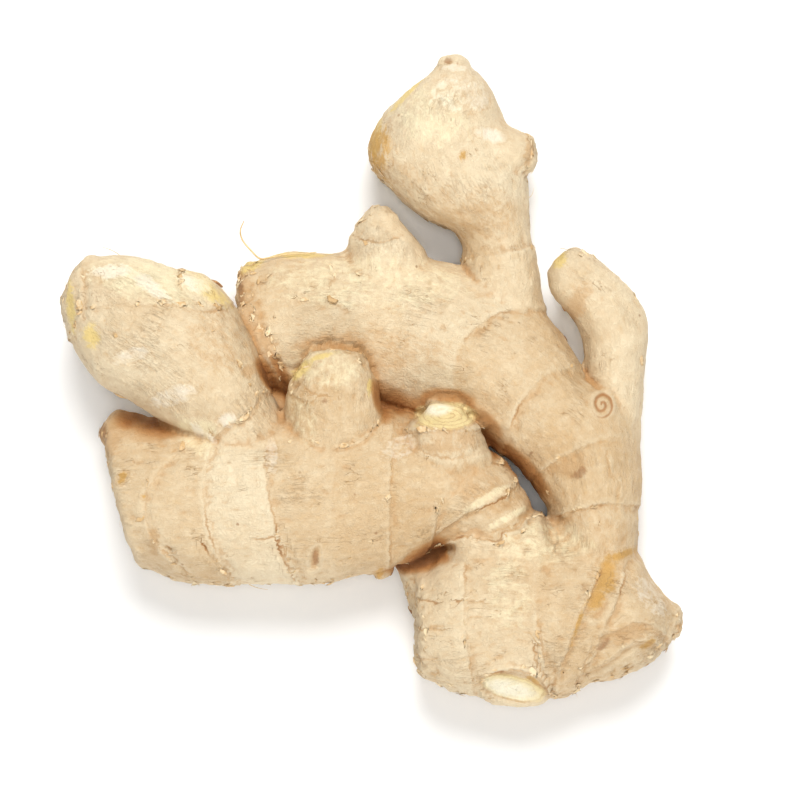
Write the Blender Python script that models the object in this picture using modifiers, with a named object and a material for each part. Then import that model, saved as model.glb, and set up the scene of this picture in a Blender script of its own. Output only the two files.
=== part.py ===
"""A hand of ginger root: one solid rhizome of fat lobes, lying on a table.

The frame has +Z up and its origin on the table, under the middle of the root. Lengths in the tables below are
in millimetres. Each lobe is a loft over stations, and a station gives the two edges of the lobe as seen from
above, the height of both edges over the table and the half depth of the section. The lobes are joined, blended
where they grow out of each other, ringed with the ridges that the leaf scales leave, and trimmed flat where the
root stands on the table.
"""
import math
from typing import NamedTuple

import bmesh
import bpy
import numpy as np
from mathutils import Vector, noise

MM = 0.001
VOXEL = 0.8 * MM  # size of the grid on which the lobes are fused
BLEND_STEPS = 6  # smoothing passes, which round the creases between lobes
TRIANGLES = 11000
FRAME_SHIFT = (-0.43, 0.12)  # brings the middle of the root over the origin
SECTION_POINTS = 36
SPINE_STEP = 1.5  # distance between two sections of a loft
CAP_RINGS = 7
LUMP_SIZE = 13.0  # distance from one swelling of the surface to the next
LUMP_HEIGHT = 0.8
RING_WIDTH = 1.2
RING_HOLLOW = 0.7  # depth of the hollow past a ring, as a share of its ridge
NEAR_BLEND = 4.0  # how far along a spine a point still feels its sections
LOBE_BLEND = 14.0  # how sharply the rings of one lobe give way to those of the next
CUTTER_SIZE = 0.4
SKIN_COLOUR = (0.78, 0.60, 0.37, 1.0)


class Lobe(NamedTuple):
    """One lobe: stations from tail to head, and the shape of its two ends.

    A station is the left edge x and y, the right edge x and y, the height of both, and the half depth.
    """

    name: str
    stations: tuple
    tail: tuple = (4.0, 2.0)  # length of the end cap, and how square it is: 2 is round, 5 nearly flat
    head: tuple = (4.0, 2.0)
    rings: tuple = ()  # three points x and y that the ring passes through, seen from above, and its height
    cut: tuple = ()  # a point and a normal of the knife's plane, where the tip was cut off


ARCH = Lobe(
    "arch",
    (
        (-26.5, 26.0, -25.0, -1.5, 12.0, 10.2),
        (-19.5, 27.9, -19.0, -4.0, 12.2, 11.2),
        (-10.0, 28.4, -10.0, -4.5, 12.4, 11.6),
        (2.0, 28.8, 0.0, -5.5, 12.6, 11.7),
        (13.0, 27.0, 8.0, -8.0, 12.9, 12.0),
        (22.0, 24.5, 15.0, -11.0, 13.3, 12.3),
        (31.0, 20.0, 21.5, -12.8, 13.6, 12.6),
        (40.2, 12.4, 26.0, -14.2, 14.0, 12.9),
        (47.5, 1.5, 29.6, -16.5, 14.3, 13.3),
        (57.5, -5.0, 33.0, -19.0, 14.5, 13.6),
        (59.3, -19.0, 37.0, -25.0, 14.6, 13.6),
        (59.3, -29.0, 39.9, -30.8, 14.7, 13.2),
        (58.7, -38.0, 40.5, -42.0, 15.0, 12.0),
    ),
    tail=(3.4, 3.5),
    rings=(
        (-8.0, 22.0, -7.0, 12.0, -8.5, 2.0, 0.3),
        (6.5, 24.0, 8.0, 13.0, 7.0, 2.0, 0.3),
        (39.9, 15.2, 27.0, 14.5, 18.0, 1.0, 0.8),
        (46.0, 1.5, 37.5, 0.9, 30.0, -11.0, 0.6),
        (57.6, -11.8, 50.2, -12.8, 42.8, -16.0, 0.5),
        (58.7, -27.3, 46.5, -27.6, 40.2, -29.7, 0.7),
    ),
)
BULB = Lobe(
    "bulb",
    (
        (19.0, 12.0, 40.0, 10.0, 12.8, 9.0),
        (20.3, 22.0, 37.2, 21.0, 12.8, 8.8),
        (20.0, 27.6, 36.5, 27.6, 12.8, 8.8),
        (18.2, 32.2, 35.7, 32.0, 12.9, 9.8),
        (11.7, 35.9, 35.2, 35.9, 13.0, 11.4),
        (6.2, 40.3, 34.7, 40.3, 13.0, 13.2),
        (1.9, 44.3, 34.3, 44.6, 13.0, 14.0),
        (-0.3, 48.5, 32.4, 49.0, 13.0, 14.1),
        (-0.2, 53.0, 31.6, 53.0, 13.3, 13.6),
        (2.0, 58.2, 29.6, 57.6, 13.7, 12.2),
        (6.8, 63.2, 27.4, 62.6, 14.1, 9.8),
        (12.4, 67.0, 25.0, 66.4, 14.5, 6.8),
        (15.0, 69.6, 21.6, 69.2, 14.8, 4.0),
    ),
    head=(2.2, 2.5),
    rings=(
        (20.5, 26.5, 28.0, 27.5, 36.4, 29.5, 0.5),
        (13.0, 35.0, 23.0, 39.0, 34.7, 38.0, 0.3),
    ),
)
BULB_KNOB = Lobe(
    "bulb_knob",
    (
        (24.0, 58.0, 24.0, 42.5, 15.0, 9.0),
        (30.0, 56.6, 31.0, 43.6, 15.3, 7.6),
        (34.0, 54.5, 34.5, 45.6, 15.5, 5.8),
    ),
    head=(2.4, 2.8),
)
PEAK = Lobe(
    "peak",
    (
        (-6.5, 22.0, 14.5, 22.0, 12.8, 9.5),
        (-5.2, 29.0, 12.2, 28.6, 13.6, 8.4),
        (-3.8, 33.0, 9.0, 32.2, 14.4, 6.6),
        (-2.0, 36.0, 6.6, 35.6, 15.0, 4.6),
        (-0.4, 38.0, 4.6, 37.6, 15.2, 3.0),
    ),
    head=(1.2, 2.2),
    rings=((-3.7, 31.1, 0.5, 29.8, 7.0, 31.0, 0.6),),
)
THUMB = Lobe(
    "thumb",
    (
        (45.0, -14.0, 59.0, -12.0, 14.0, 9.0),
        (46.5, -5.0, 60.0, -4.0, 14.5, 8.0),
        (47.3, 2.0, 60.4, 2.0, 15.0, 7.2),
        (47.0, 9.0, 60.9, 9.5, 15.4, 6.9),
        (44.6, 14.0, 60.0, 15.4, 15.7, 6.8),
        (41.9, 17.3, 55.5, 22.1, 15.9, 6.5),
        (39.8, 19.6, 50.0, 26.5, 16.0, 5.8),
        (39.2, 22.5, 45.4, 29.3, 16.0, 4.6),
    ),
    head=(1.6, 2.4),
    rings=((41.4, 18.3, 46.0, 21.5, 49.0, 25.8, 0.3),),
)
FOOT = Lobe(
    "foot",
    (
        (12.5, -41.0, 13.0, -66.0, 14.6, 13.0),
        (18.0, -35.0, 18.5, -68.8, 14.9, 14.6),
        (26.0, -29.5, 26.5, -69.4, 14.9, 15.4),
        (35.0, -30.5, 34.5, -70.2, 15.0, 15.7),
        (43.0, -31.5, 42.0, -69.4, 15.0, 15.7),
        (52.0, -34.0, 48.5, -66.4, 15.0, 15.0),
        (58.6, -38.0, 54.5, -65.8, 15.0, 13.8),
        (61.8, -43.0, 59.9, -63.2, 15.0, 11.6),
        (64.8, -46.6, 64.0, -60.0, 15.0, 9.0),
        (67.2, -49.0, 66.9, -56.2, 15.0, 6.0),
    ),
    tail=(2.8, 3.5),
    head=(1.6, 2.4),
    rings=(
        (20.1, -39.8, 20.4, -54.0, 22.2, -67.2, 0.5),
        (36.7, -40.8, 36.2, -54.0, 39.1, -65.6, 0.5),
        (50.7, -39.2, 45.2, -51.9, 40.7, -63.5, 0.7),
        (53.9, -46.1, 50.7, -54.0, 46.0, -64.6, 0.6),
    ),
)
FOOT_SCAR = Lobe(
    "foot_scar",
    (
        (40.0, -56.0, 23.5, -56.0, 19.0, 9.0),
        (39.6, -64.0, 23.8, -64.0, 19.0, 9.0),
        (38.6, -69.4, 24.8, -69.4, 18.0, 8.0),
    ),
    head=(2.0, 3.0),
    cut=((31.2, -67.2, 21.7), (-0.15, -0.63, 0.76)),
)
FOOT_BUD = Lobe(
    "foot_bud",
    (
        (46.0, -60.0, 38.5, -60.0, 14.0, 7.0),
        (45.2, -66.0, 39.4, -66.5, 14.0, 5.0),
        (43.8, -68.6, 40.6, -69.0, 14.0, 3.0),
    ),
    head=(1.4, 2.4),
)
FOOT_ROOT = Lobe(
    "foot_root",
    (
        (9.6, -52.0, 24.0, -52.0, 13.5, 10.5),
        (7.4, -46.0, 23.0, -43.0, 13.0, 8.5),
        (5.6, -41.0, 21.0, -37.0, 12.5, 7.5),
    ),
)
SADDLE = Lobe(
    "saddle",
    (
        (22.0, -28.5, 20.5, -43.0, 19.5, 8.6),
        (29.5, -27.5, 29.0, -44.5, 19.5, 9.4),
        (37.0, -28.6, 37.0, -44.5, 19.0, 9.9),
    ),
    tail=(3.0, 2.4),
    head=(2.0, 2.2),
)
BACK = Lobe(
    "back",
    (
        (-56.8, -9.3, -49.0, -41.3, 15.0, 14.8),
        (-46.0, -8.0, -42.0, -44.3, 15.6, 16.6),
        (-34.0, -6.0, -32.0, -45.3, 16.6, 16.2),
        (-22.0, -5.4, -21.0, -44.8, 17.6, 15.8),
        (-10.0, -5.4, -12.0, -44.7, 18.0, 15.4),
        (2.0, -6.0, -1.0, -42.4, 18.6, 14.8),
        (12.0, -8.5, 8.0, -39.5, 19.0, 13.8),
        (22.0, -12.5, 14.0, -36.6, 19.4, 12.6),
        (29.6, -18.6, 18.5, -35.8, 19.4, 11.4),
        (34.2, -25.6, 24.0, -35.6, 19.2, 10.2),
    ),
    tail=(3.2, 4.0),
    head=(3.5, 2.4),
    rings=(
        (-46.6, -20.0, -47.2, -34.5, -40.0, -43.2, 0.4),
        (-34.5, -14.0, -36.0, -30.0, -30.6, -43.5, 0.5),
        (-22.8, -15.2, -22.0, -27.0, -16.2, -43.5, 0.5),
        (-6.9, -14.9, -8.4, -25.0, -8.4, -35.1, 0.3),
        (4.2, -20.6, 4.0, -28.0, 3.9, -36.3, 0.4),
        (18.5, -21.3, 15.9, -25.0, 13.8, -33.4, 0.6),
        (31.5, -22.1, 25.9, -26.6, 19.6, -29.7, 0.8),
    ),
)
HEEL_BUD = Lobe(
    "heel_bud",
    ((-58.0, -17.0, -50.0, -8.0, 15.0, 7.0), (-59.6, -12.6, -54.6, -6.8, 15.5, 5.0)),
    head=(1.6, 2.4),
)
BACK_SPUR = Lobe(
    "back_spur",
    ((6.5, -38.0, -0.5, -40.0, 17.0, 5.0), (4.2, -42.2, 1.0, -43.4, 16.5, 2.0)),
    head=(0.9, 2.0),
)
SHOULDER = Lobe(
    "shoulder",
    (
        (-29.0, -20.2, -20.2, -5.1, 19.0, 11.0),
        (-38.0, -13.8, -25.7, 7.5, 22.0, 12.0),
        (-46.2, -9.0, -30.7, 17.8, 24.0, 12.4),
        (-52.7, -4.5, -36.8, 23.1, 24.6, 12.6),
        (-59.3, -0.3, -44.6, 25.1, 24.6, 12.2),
        (-63.4, 4.7, -50.6, 26.9, 24.4, 11.2),
        (-66.3, 9.4, -56.0, 27.2, 24.0, 9.6),
        (-67.4, 14.6, -60.1, 27.2, 23.6, 7.8),
    ),
    head=(2.4, 2.6),
)
WEB = Lobe(
    "web",
    (
        (-27.0, 3.0, -27.0, -16.0, 12.0, 4.0),
        (-10.0, 3.0, -12.0, -18.0, 11.8, 5.4),
        (5.0, 1.0, 3.0, -20.0, 12.2, 5.4),
        (17.0, -2.0, 15.0, -20.0, 12.6, 4.4),
    ),
)
KNUCKLE = Lobe(
    "knuckle",
    (
        (-19.5, -18.0, 3.0, -18.0, 21.4, 9.4),
        (-19.0, -9.0, 2.4, -9.0, 23.4, 9.4),
        (-18.6, -3.5, 2.0, -3.5, 24.8, 9.0),
        (-16.8, 1.0, 1.2, 0.6, 25.4, 8.2),
        (-14.6, 4.5, -0.6, 3.7, 25.8, 6.8),
    ),
    head=(2.6, 3.2),
    rings=((-17.0, -2.0, -8.0, -0.5, 1.0, -2.0, 0.2),),
)
STUB = Lobe(
    "stub",
    (
        (7.0, -22.0, 27.0, -22.0, 20.5, 10.0),
        (6.5, -15.0, 26.0, -15.6, 24.0, 9.0),
        (6.8, -11.0, 24.4, -11.4, 25.2, 8.2),
        (9.3, -8.6, 22.8, -8.8, 25.8, 7.4),
        (12.0, -6.2, 20.4, -6.7, 26.0, 5.8),
    ),
    head=(1.6, 2.6),
    rings=((8.5, -14.4, 16.5, -17.2, 25.0, -16.2, 0.5),),
    cut=((16.5, -7.6, 30.1), (0.0, 0.73, 0.68)),
)
LOBES = (ARCH, BULB, BULB_KNOB, PEAK, THUMB, FOOT, FOOT_SCAR, FOOT_BUD, FOOT_ROOT, BACK, HEEL_BUD, BACK_SPUR)
LOBES += (SHOULDER, WEB, KNUCKLE, STUB, SADDLE)


MARKS = (
    # what, x, y, half length, half width, turn of its length from +X in degrees, height of rim, height of middle
    ("thumb eye", 51.0, -5.4, 2.7, 2.6, 0.0, 0.7, 0.5),
    ("back dent", -12.0, -38.7, 3.4, 1.4, 10.0, 0.2, -0.8),
    ("stub cut", 16.9, -8.6, 6.6, 2.6, 0.0, 0.6, -0.3),
    ("foot cut", 31.5, -67.6, 7.4, 3.6, 0.0, 0.6, -0.3),
    ("bulb tip", 17.2, 69.8, 1.6, 1.2, 0.0, 0.3, -0.5),
    ("foot bud", 49.0, -49.0, 3.6, 3.0, 60.0, 0.4, 0.2),
)


def smooth_path(points, step):
    """Rows of a Catmull-Rom curve through the given rows, about one step apart, without the last."""
    points = np.asarray(points, float)
    knots = np.vstack([2 * points[0] - points[1], points, 2 * points[-1] - points[-2]])
    rows = []
    for a, b, c, d in zip(knots, knots[1:], knots[2:], knots[3:]):
        count = max(2, math.ceil(np.abs(c - b).max() / step))
        for t in np.arange(count)[:, None] / count:
            rows.append(
                0.5 * (2 * b + (c - a) * t + (2 * a - 5 * b + 4 * c - d) * t**2 + (3 * b - a - 3 * c + d) * t**3)
            )
    return np.vstack([*rows, points[-1:]])


class Spine:
    """The line down the middle of a lobe, with the directions and the size of the section at each of its points."""

    def __init__(self, lobe):
        self.lobe = lobe
        path = smooth_path(lobe.stations, SPINE_STEP)
        left, right = path[:, 0:2], path[:, 2:4]
        self.middle = np.column_stack([(left + right) / 2, path[:, 4]])
        self.half = np.linalg.norm(right - left, axis=1) / 2
        self.depth = path[:, 5]
        self.side = np.column_stack([(right - left) / (2 * self.half[:, None]), np.zeros(len(path))])
        self.along = np.column_stack([-self.side[:, 1], self.side[:, 0], np.zeros(len(path))])
        steps = (np.diff(self.middle, axis=0) * self.along[1:]).sum(1)
        self.reach = np.concatenate([[0.0], np.cumsum(steps)])
        self.rings = [self.fit_ring(ring) for ring in lobe.rings]

    def cap(self, end, shape):
        """Sections past one end, shrinking to close it, nearest first, and the pole that closes them."""
        length, square = shape
        outward = self.along[end] * (-1.0 if end == 0 else 1.0)
        rows = []
        for k in range(1, CAP_RINGS):
            reach = math.sin(0.5 * math.pi * k / CAP_RINGS)
            shrink = (1 - reach**square) ** (1 / square)
            rows.append((self.middle[end] + outward * length * reach, self.half[end] * shrink, self.depth[end] * shrink))
        return rows, self.middle[end] + outward * length

    def place(self, points):
        """For each point: how far out it is in half widths, its distance along the spine, and how far across."""
        out = np.empty((3, len(points)))
        ends = np.arange(len(self.middle)) % (len(self.middle) - 1) == 0
        for first in range(0, len(points), 4000):
            offset = points[first : first + 4000, None] - self.middle[None]
            far = (offset**2).sum(2)
            weight = np.exp((far.min(1)[:, None] - far) / NEAR_BLEND**2)
            weight /= weight.sum(1)[:, None]
            past = (offset * self.along).sum(2)
            across = ((offset * self.side).sum(2) / self.half * weight).sum(1)
            rise = (offset[:, :, 2] / self.depth * weight).sum(1)
            beyond = (past / self.half * ends * weight).sum(1)
            reach = ((self.reach + past) * weight).sum(1)
            out[:, first : first + 4000] = np.sqrt(across**2 + rise**2 + beyond**2), reach, across
        return out

    def fit_ring(self, ring):
        """The start, skew and bow of the ring through three points that are given as seen from above."""
        flat = np.reshape(ring[:6], (3, 2))
        near = ((flat[:, None] - self.middle[None, :, :2]) ** 2).sum(2).argmin(1)
        points = np.column_stack([flat, self.middle[near, 2]])
        _, reach, across = self.place(points)
        start, skew, bow = np.linalg.solve(np.column_stack([np.ones(3), across, 1 - across**2]), reach)
        return start, skew, bow, ring[6]

    def relief(self, reach, across):
        """Height of the skin over the loft: a ridge at each ring, with a hollow just past it."""
        height = np.zeros_like(reach)
        for start, skew, bow, ridge in self.rings:
            past = reach - (start + skew * across + bow * (1 - across**2))
            height += ridge * np.exp(-((past / RING_WIDTH) ** 2))
            height -= RING_HOLLOW * ridge * np.exp(-(((past - 2 * RING_WIDTH) / (1.5 * RING_WIDTH)) ** 2))
        return height


def lobe_mesh(spine):
    """A closed loft over a lobe's stations, in metres."""
    lobe = spine.lobe
    tail, first = spine.cap(0, lobe.tail)
    head, last = spine.cap(-1, lobe.head)
    rows = [*tail[::-1], *zip(spine.middle, spine.half, spine.depth), *head]
    sides = [*[spine.side[0]] * len(tail), *spine.side, *[spine.side[-1]] * len(head)]
    angles = np.arange(SECTION_POINTS) * 2 * math.pi / SECTION_POINTS

    shape = bmesh.new()
    loops = []
    for (middle, half, depth), side in zip(rows, sides):
        points = middle + np.outer(np.cos(angles) * half, side) + np.outer(np.sin(angles) * depth, (0, 0, 1))
        loops.append([shape.verts.new(p * MM) for p in points])
    for one, two in zip(loops, loops[1:]):
        for k in range(SECTION_POINTS):
            n = (k + 1) % SECTION_POINTS
            shape.faces.new((one[k], one[n], two[n], two[k]))
    for pole, loop in ((first, loops[0]), (last, loops[-1])):
        tip = shape.verts.new(pole * MM)
        for k in range(SECTION_POINTS):
            shape.faces.new((tip, loop[k], loop[(k + 1) % SECTION_POINTS]))
    if lobe.cut:
        point, normal = (Vector(v) for v in lobe.cut)
        everything = shape.verts[:] + shape.edges[:] + shape.faces[:]
        cut = bmesh.ops.bisect_plane(shape, geom=everything, plane_co=point * MM, plane_no=normal, clear_outer=True)
        bmesh.ops.edgeloop_fill(shape, edges=[e for e in cut["geom_cut"] if isinstance(e, bmesh.types.BMEdge)])
    bmesh.ops.recalc_face_normals(shape, faces=shape.faces)
    mesh = bpy.data.meshes.new(lobe.name)
    shape.to_mesh(mesh)
    shape.free()
    return mesh


def fused_mesh(spines, collection):
    """All the lobes as one surface, with the creases between them blended."""
    shape = bmesh.new()
    for spine in spines:
        mesh = lobe_mesh(spine)
        shape.from_mesh(mesh)
        bpy.data.meshes.remove(mesh)
    mesh = bpy.data.meshes.new("lobes")
    shape.to_mesh(mesh)
    shape.free()
    lobes = bpy.data.objects.new("lobes", mesh)
    collection.objects.link(lobes)

    fuse = lobes.modifiers.new("Fuse", "REMESH")
    fuse.mode = "VOXEL"
    fuse.voxel_size = VOXEL
    blend = lobes.modifiers.new("Blend", "SMOOTH")
    blend.factor = 0.5
    blend.iterations = BLEND_STEPS
    fused = bpy.data.meshes.new_from_object(lobes.evaluated_get(bpy.context.evaluated_depsgraph_get()))
    bpy.data.objects.remove(lobes)
    return fused


def mark_relief(points, normals):
    """Height of the buds and scars on the upper side: a rim round each, and its middle."""
    height = np.zeros(len(points))
    for _, x, y, length, width, turn, rim, middle in MARKS:
        c, s = math.cos(math.radians(turn)), math.sin(math.radians(turn))
        u = ((points[:, 0] - x) * c + (points[:, 1] - y) * s) / length
        v = ((points[:, 1] - y) * c - (points[:, 0] - x) * s) / width
        far = np.hypot(u, v)
        shape = rim * np.exp(-(((far - 1) / 0.3) ** 2)) + middle * np.exp(-((far / 0.6) ** 2))
        height += np.where(normals[:, 2] > 0.0, shape, 0.0)
    return height


def raise_relief(mesh, spines):
    """Moves each vertex along its normal, for the rings, the marks and slow swellings of the skin."""
    points = np.empty(len(mesh.vertices) * 3)
    mesh.vertices.foreach_get("co", points)
    points = points.reshape(-1, 3) / MM
    normals = np.empty(len(mesh.vertices) * 3)
    mesh.vertices.foreach_get("normal", normals)
    normals = normals.reshape(-1, 3)

    places = [spine.place(points) for spine in spines]
    share = np.array([np.exp(-LOBE_BLEND * (out - 1)) for out, _, _ in places])
    share /= share.sum(0)
    reliefs = [spine.relief(reach, across) for spine, (_, reach, across) in zip(spines, places)]
    height = (share * reliefs).sum(0) + mark_relief(points, normals)
    height += LUMP_HEIGHT * np.array([noise.noise(Vector(p) / LUMP_SIZE) for p in points])
    points += normals * height[:, None]
    mesh.vertices.foreach_set("co", (points * MM).ravel())
    mesh.update()


def skin_material():
    """Dry, pale tan skin."""
    material = bpy.data.materials.new("ginger skin")
    material.use_nodes = True
    shader = material.node_tree.nodes["Principled BSDF"]
    shader.inputs["Base Color"].default_value = SKIN_COLOUR
    shader.inputs["Roughness"].default_value = 0.62
    shader.inputs["Metallic"].default_value = 0.0
    return material


def table_cutter(collection):
    """A block under the table's surface, which trims the root flat where it stands."""
    bpy.ops.mesh.primitive_cube_add(size=1.0, location=(0.0, 0.0, -CUTTER_SIZE / 4))
    cutter = bpy.context.object
    cutter.name = "table_cutter"
    cutter.scale = (CUTTER_SIZE, CUTTER_SIZE, CUTTER_SIZE / 2)
    cutter.hide_render = True
    cutter.display_type = "WIRE"
    for owner in cutter.users_collection:
        owner.objects.unlink(cutter)
    collection.objects.link(cutter)
    return cutter


def main():
    for obj in list(bpy.data.objects):
        bpy.data.objects.remove(obj)
    parts = bpy.data.collections.new("Ginger root")
    cutters = bpy.data.collections.new("Cutters")
    for collection in (parts, cutters):
        bpy.context.scene.collection.children.link(collection)

    spines = [Spine(lobe) for lobe in LOBES]
    mesh = fused_mesh(spines, parts)
    raise_relief(mesh, spines)
    mesh.materials.append(skin_material())
    root = bpy.data.objects.new("ginger_root", mesh)
    root.location = (FRAME_SHIFT[0] * MM, FRAME_SHIFT[1] * MM, 0.0)
    parts.objects.link(root)

    thin = root.modifiers.new("Thin", "DECIMATE")
    thin.ratio = TRIANGLES / (2 * len(mesh.polygons))
    trim = root.modifiers.new("Trim", "BOOLEAN")
    trim.operation = "DIFFERENCE"
    trim.object = table_cutter(cutters)
    trim.solver = "EXACT"


main()
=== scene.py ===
"""Looks of a hand of ginger root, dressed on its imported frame.

The root is built again from the same stations as its source, on a finer grid, and gets its ragged ring scars,
wrinkles, dents and cut faces. Attributes on its mesh say where each lobe runs and where the skin is peeled,
stained or cut, and the finishes read them. Lengths in the tables are in millimetres.
"""
from __future__ import annotations

import logging
import math
from dataclasses import dataclass
from enum import Enum

import bmesh
import bpy
import numpy as np
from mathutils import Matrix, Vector, noise

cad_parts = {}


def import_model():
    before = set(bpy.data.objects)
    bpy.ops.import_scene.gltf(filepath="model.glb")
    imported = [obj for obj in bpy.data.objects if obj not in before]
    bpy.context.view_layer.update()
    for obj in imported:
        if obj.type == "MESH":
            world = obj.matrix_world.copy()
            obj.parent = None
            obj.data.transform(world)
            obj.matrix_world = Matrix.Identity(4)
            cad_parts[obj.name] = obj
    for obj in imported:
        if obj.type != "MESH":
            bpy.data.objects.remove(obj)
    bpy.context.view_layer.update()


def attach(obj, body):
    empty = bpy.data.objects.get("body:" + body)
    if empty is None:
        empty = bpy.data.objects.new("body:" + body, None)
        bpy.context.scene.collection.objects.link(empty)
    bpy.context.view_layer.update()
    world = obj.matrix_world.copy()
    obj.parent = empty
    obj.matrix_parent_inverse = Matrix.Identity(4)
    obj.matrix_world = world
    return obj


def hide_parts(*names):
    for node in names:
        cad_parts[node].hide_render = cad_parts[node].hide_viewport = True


LOG = logging.getLogger("ginger")
MM = 0.001
NODE = "ginger_root"
BODY = "root"
SLOT = "ginger_skin"
FRAME_SHIFT = (-0.43, 0.12)
SEED = 7
UP = (0.0, 0.0, 1.0)
# A distance in millimetres, or in half widths of a lobe, that is too long to matter.
FAR = 9.0
Triple = tuple[float, float, float]
Colour = Triple


@dataclass(frozen=True)
class Lobe:
    """One lobe of the root.

    A station is the left edge x and y, the right edge x and y, the height of both, and the half depth. An
    end is the length of its cap and how square it is. A ring is three points x and y seen from above, and its
    height. A cut is a point on a plane, and the way that the plane faces.
    """

    name: str
    stations: tuple[tuple[float, ...], ...]
    tail: tuple[float, float] = (4.0, 2.0)
    head: tuple[float, float] = (4.0, 2.0)
    rings: tuple[tuple[float, ...], ...] = ()
    cut: tuple[tuple[float, ...], ...] = ()


ARCH = Lobe(
    "arch",
    (
        (-26.5, 26.0, -25.0, -1.5, 12.0, 10.2),
        (-19.5, 27.9, -19.0, -4.0, 12.2, 11.2),
        (-10.0, 28.4, -10.0, -4.5, 12.4, 11.6),
        (2.0, 28.8, 0.0, -5.5, 12.6, 11.7),
        (13.0, 27.0, 8.0, -8.0, 12.9, 12.0),
        (22.0, 24.5, 15.0, -11.0, 13.3, 12.3),
        (31.0, 20.0, 21.5, -12.8, 13.6, 12.6),
        (40.2, 12.4, 26.0, -14.2, 14.0, 12.9),
        (47.5, 1.5, 29.6, -16.5, 14.3, 13.3),
        (57.5, -5.0, 33.0, -19.0, 14.5, 13.6),
        (59.3, -19.0, 37.0, -25.0, 14.6, 13.6),
        (59.3, -29.0, 39.9, -30.8, 14.7, 13.2),
        (58.7, -38.0, 40.5, -42.0, 15.0, 12.0),
    ),
    tail=(3.4, 3.5),
    rings=(
        (-8.0, 22.0, -7.0, 12.0, -8.5, 2.0, 0.3),
        (6.5, 24.0, 8.0, 13.0, 7.0, 2.0, 0.3),
        (39.9, 15.2, 27.0, 14.5, 18.0, 1.0, 0.8),
        (46.0, 1.5, 37.5, 0.9, 30.0, -11.0, 0.6),
        (57.6, -11.8, 50.2, -12.8, 42.8, -16.0, 0.5),
        (58.7, -27.3, 46.5, -27.6, 40.2, -29.7, 0.7),
    ),
)
BULB = Lobe(
    "bulb",
    (
        (19.0, 12.0, 40.0, 10.0, 12.8, 9.0),
        (20.3, 22.0, 37.2, 21.0, 12.8, 8.8),
        (20.0, 27.6, 36.5, 27.6, 12.8, 8.8),
        (18.2, 32.2, 35.7, 32.0, 12.9, 9.8),
        (11.7, 35.9, 35.2, 35.9, 13.0, 11.4),
        (6.2, 40.3, 34.7, 40.3, 13.0, 13.2),
        (1.9, 44.3, 34.3, 44.6, 13.0, 14.0),
        (-0.3, 48.5, 32.4, 49.0, 13.0, 14.1),
        (-0.2, 53.0, 31.6, 53.0, 13.3, 13.6),
        (2.0, 58.2, 29.6, 57.6, 13.7, 12.2),
        (6.8, 63.2, 27.4, 62.6, 14.1, 9.8),
        (12.4, 67.0, 25.0, 66.4, 14.5, 6.8),
        (15.0, 69.6, 21.6, 69.2, 14.8, 4.0),
    ),
    head=(2.2, 2.5),
    rings=(
        (20.5, 26.5, 28.0, 27.5, 36.4, 29.5, 0.5),
        (13.0, 35.0, 23.0, 39.0, 34.7, 38.0, 0.3),
    ),
)
BULB_KNOB = Lobe(
    "bulb_knob",
    (
        (24.0, 58.0, 24.0, 42.5, 15.0, 9.0),
        (30.0, 56.6, 31.0, 43.6, 15.3, 7.6),
        (34.0, 54.5, 34.5, 45.6, 15.5, 5.8),
    ),
    head=(2.4, 2.8),
)
PEAK = Lobe(
    "peak",
    (
        (-6.5, 22.0, 14.5, 22.0, 12.8, 9.5),
        (-5.2, 29.0, 12.2, 28.6, 13.6, 8.4),
        (-3.8, 33.0, 9.0, 32.2, 14.4, 6.6),
        (-2.0, 36.0, 6.6, 35.6, 15.0, 4.6),
        (-0.4, 38.0, 4.6, 37.6, 15.2, 3.0),
    ),
    head=(1.2, 2.2),
    rings=((-3.7, 31.1, 0.5, 29.8, 7.0, 31.0, 0.6),),
)
THUMB = Lobe(
    "thumb",
    (
        (45.0, -14.0, 59.0, -12.0, 14.0, 9.0),
        (46.5, -5.0, 60.0, -4.0, 14.5, 8.0),
        (47.3, 2.0, 60.4, 2.0, 15.0, 7.2),
        (47.0, 9.0, 60.9, 9.5, 15.4, 6.9),
        (44.6, 14.0, 60.0, 15.4, 15.7, 6.8),
        (41.9, 17.3, 55.5, 22.1, 15.9, 6.5),
        (39.8, 19.6, 50.0, 26.5, 16.0, 5.8),
        (39.2, 22.5, 45.4, 29.3, 16.0, 4.6),
    ),
    head=(1.6, 2.4),
    rings=((41.4, 18.3, 46.0, 21.5, 49.0, 25.8, 0.3),),
)
FOOT = Lobe(
    "foot",
    (
        (12.5, -41.0, 13.0, -66.0, 14.6, 13.0),
        (18.0, -35.0, 18.5, -68.8, 14.9, 14.6),
        (26.0, -29.5, 26.5, -69.4, 14.9, 15.4),
        (35.0, -30.5, 34.5, -70.2, 15.0, 15.7),
        (43.0, -31.5, 42.0, -69.4, 15.0, 15.7),
        (52.0, -34.0, 48.5, -66.4, 15.0, 15.0),
        (58.6, -38.0, 54.5, -65.8, 15.0, 13.8),
        (61.8, -43.0, 59.9, -63.2, 15.0, 11.6),
        (64.8, -46.6, 64.0, -60.0, 15.0, 9.0),
        (67.2, -49.0, 66.9, -56.2, 15.0, 6.0),
    ),
    tail=(2.8, 3.5),
    head=(1.6, 2.4),
    rings=(
        (20.1, -39.8, 20.4, -54.0, 22.2, -67.2, 0.5),
        (36.7, -40.8, 36.2, -54.0, 39.1, -65.6, 0.5),
        (50.7, -39.2, 45.2, -51.9, 40.7, -63.5, 0.7),
        (53.9, -46.1, 50.7, -54.0, 46.0, -64.6, 0.6),
    ),
)
FOOT_SCAR = Lobe(
    "foot_scar",
    (
        (40.0, -56.0, 23.5, -56.0, 19.0, 9.0),
        (39.6, -64.0, 23.8, -64.0, 19.0, 9.0),
        (38.6, -69.4, 24.8, -69.4, 18.0, 8.0),
    ),
    head=(2.0, 3.0),
    cut=((31.2, -67.2, 21.7), (-0.15, -0.63, 0.76)),
)
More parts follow.
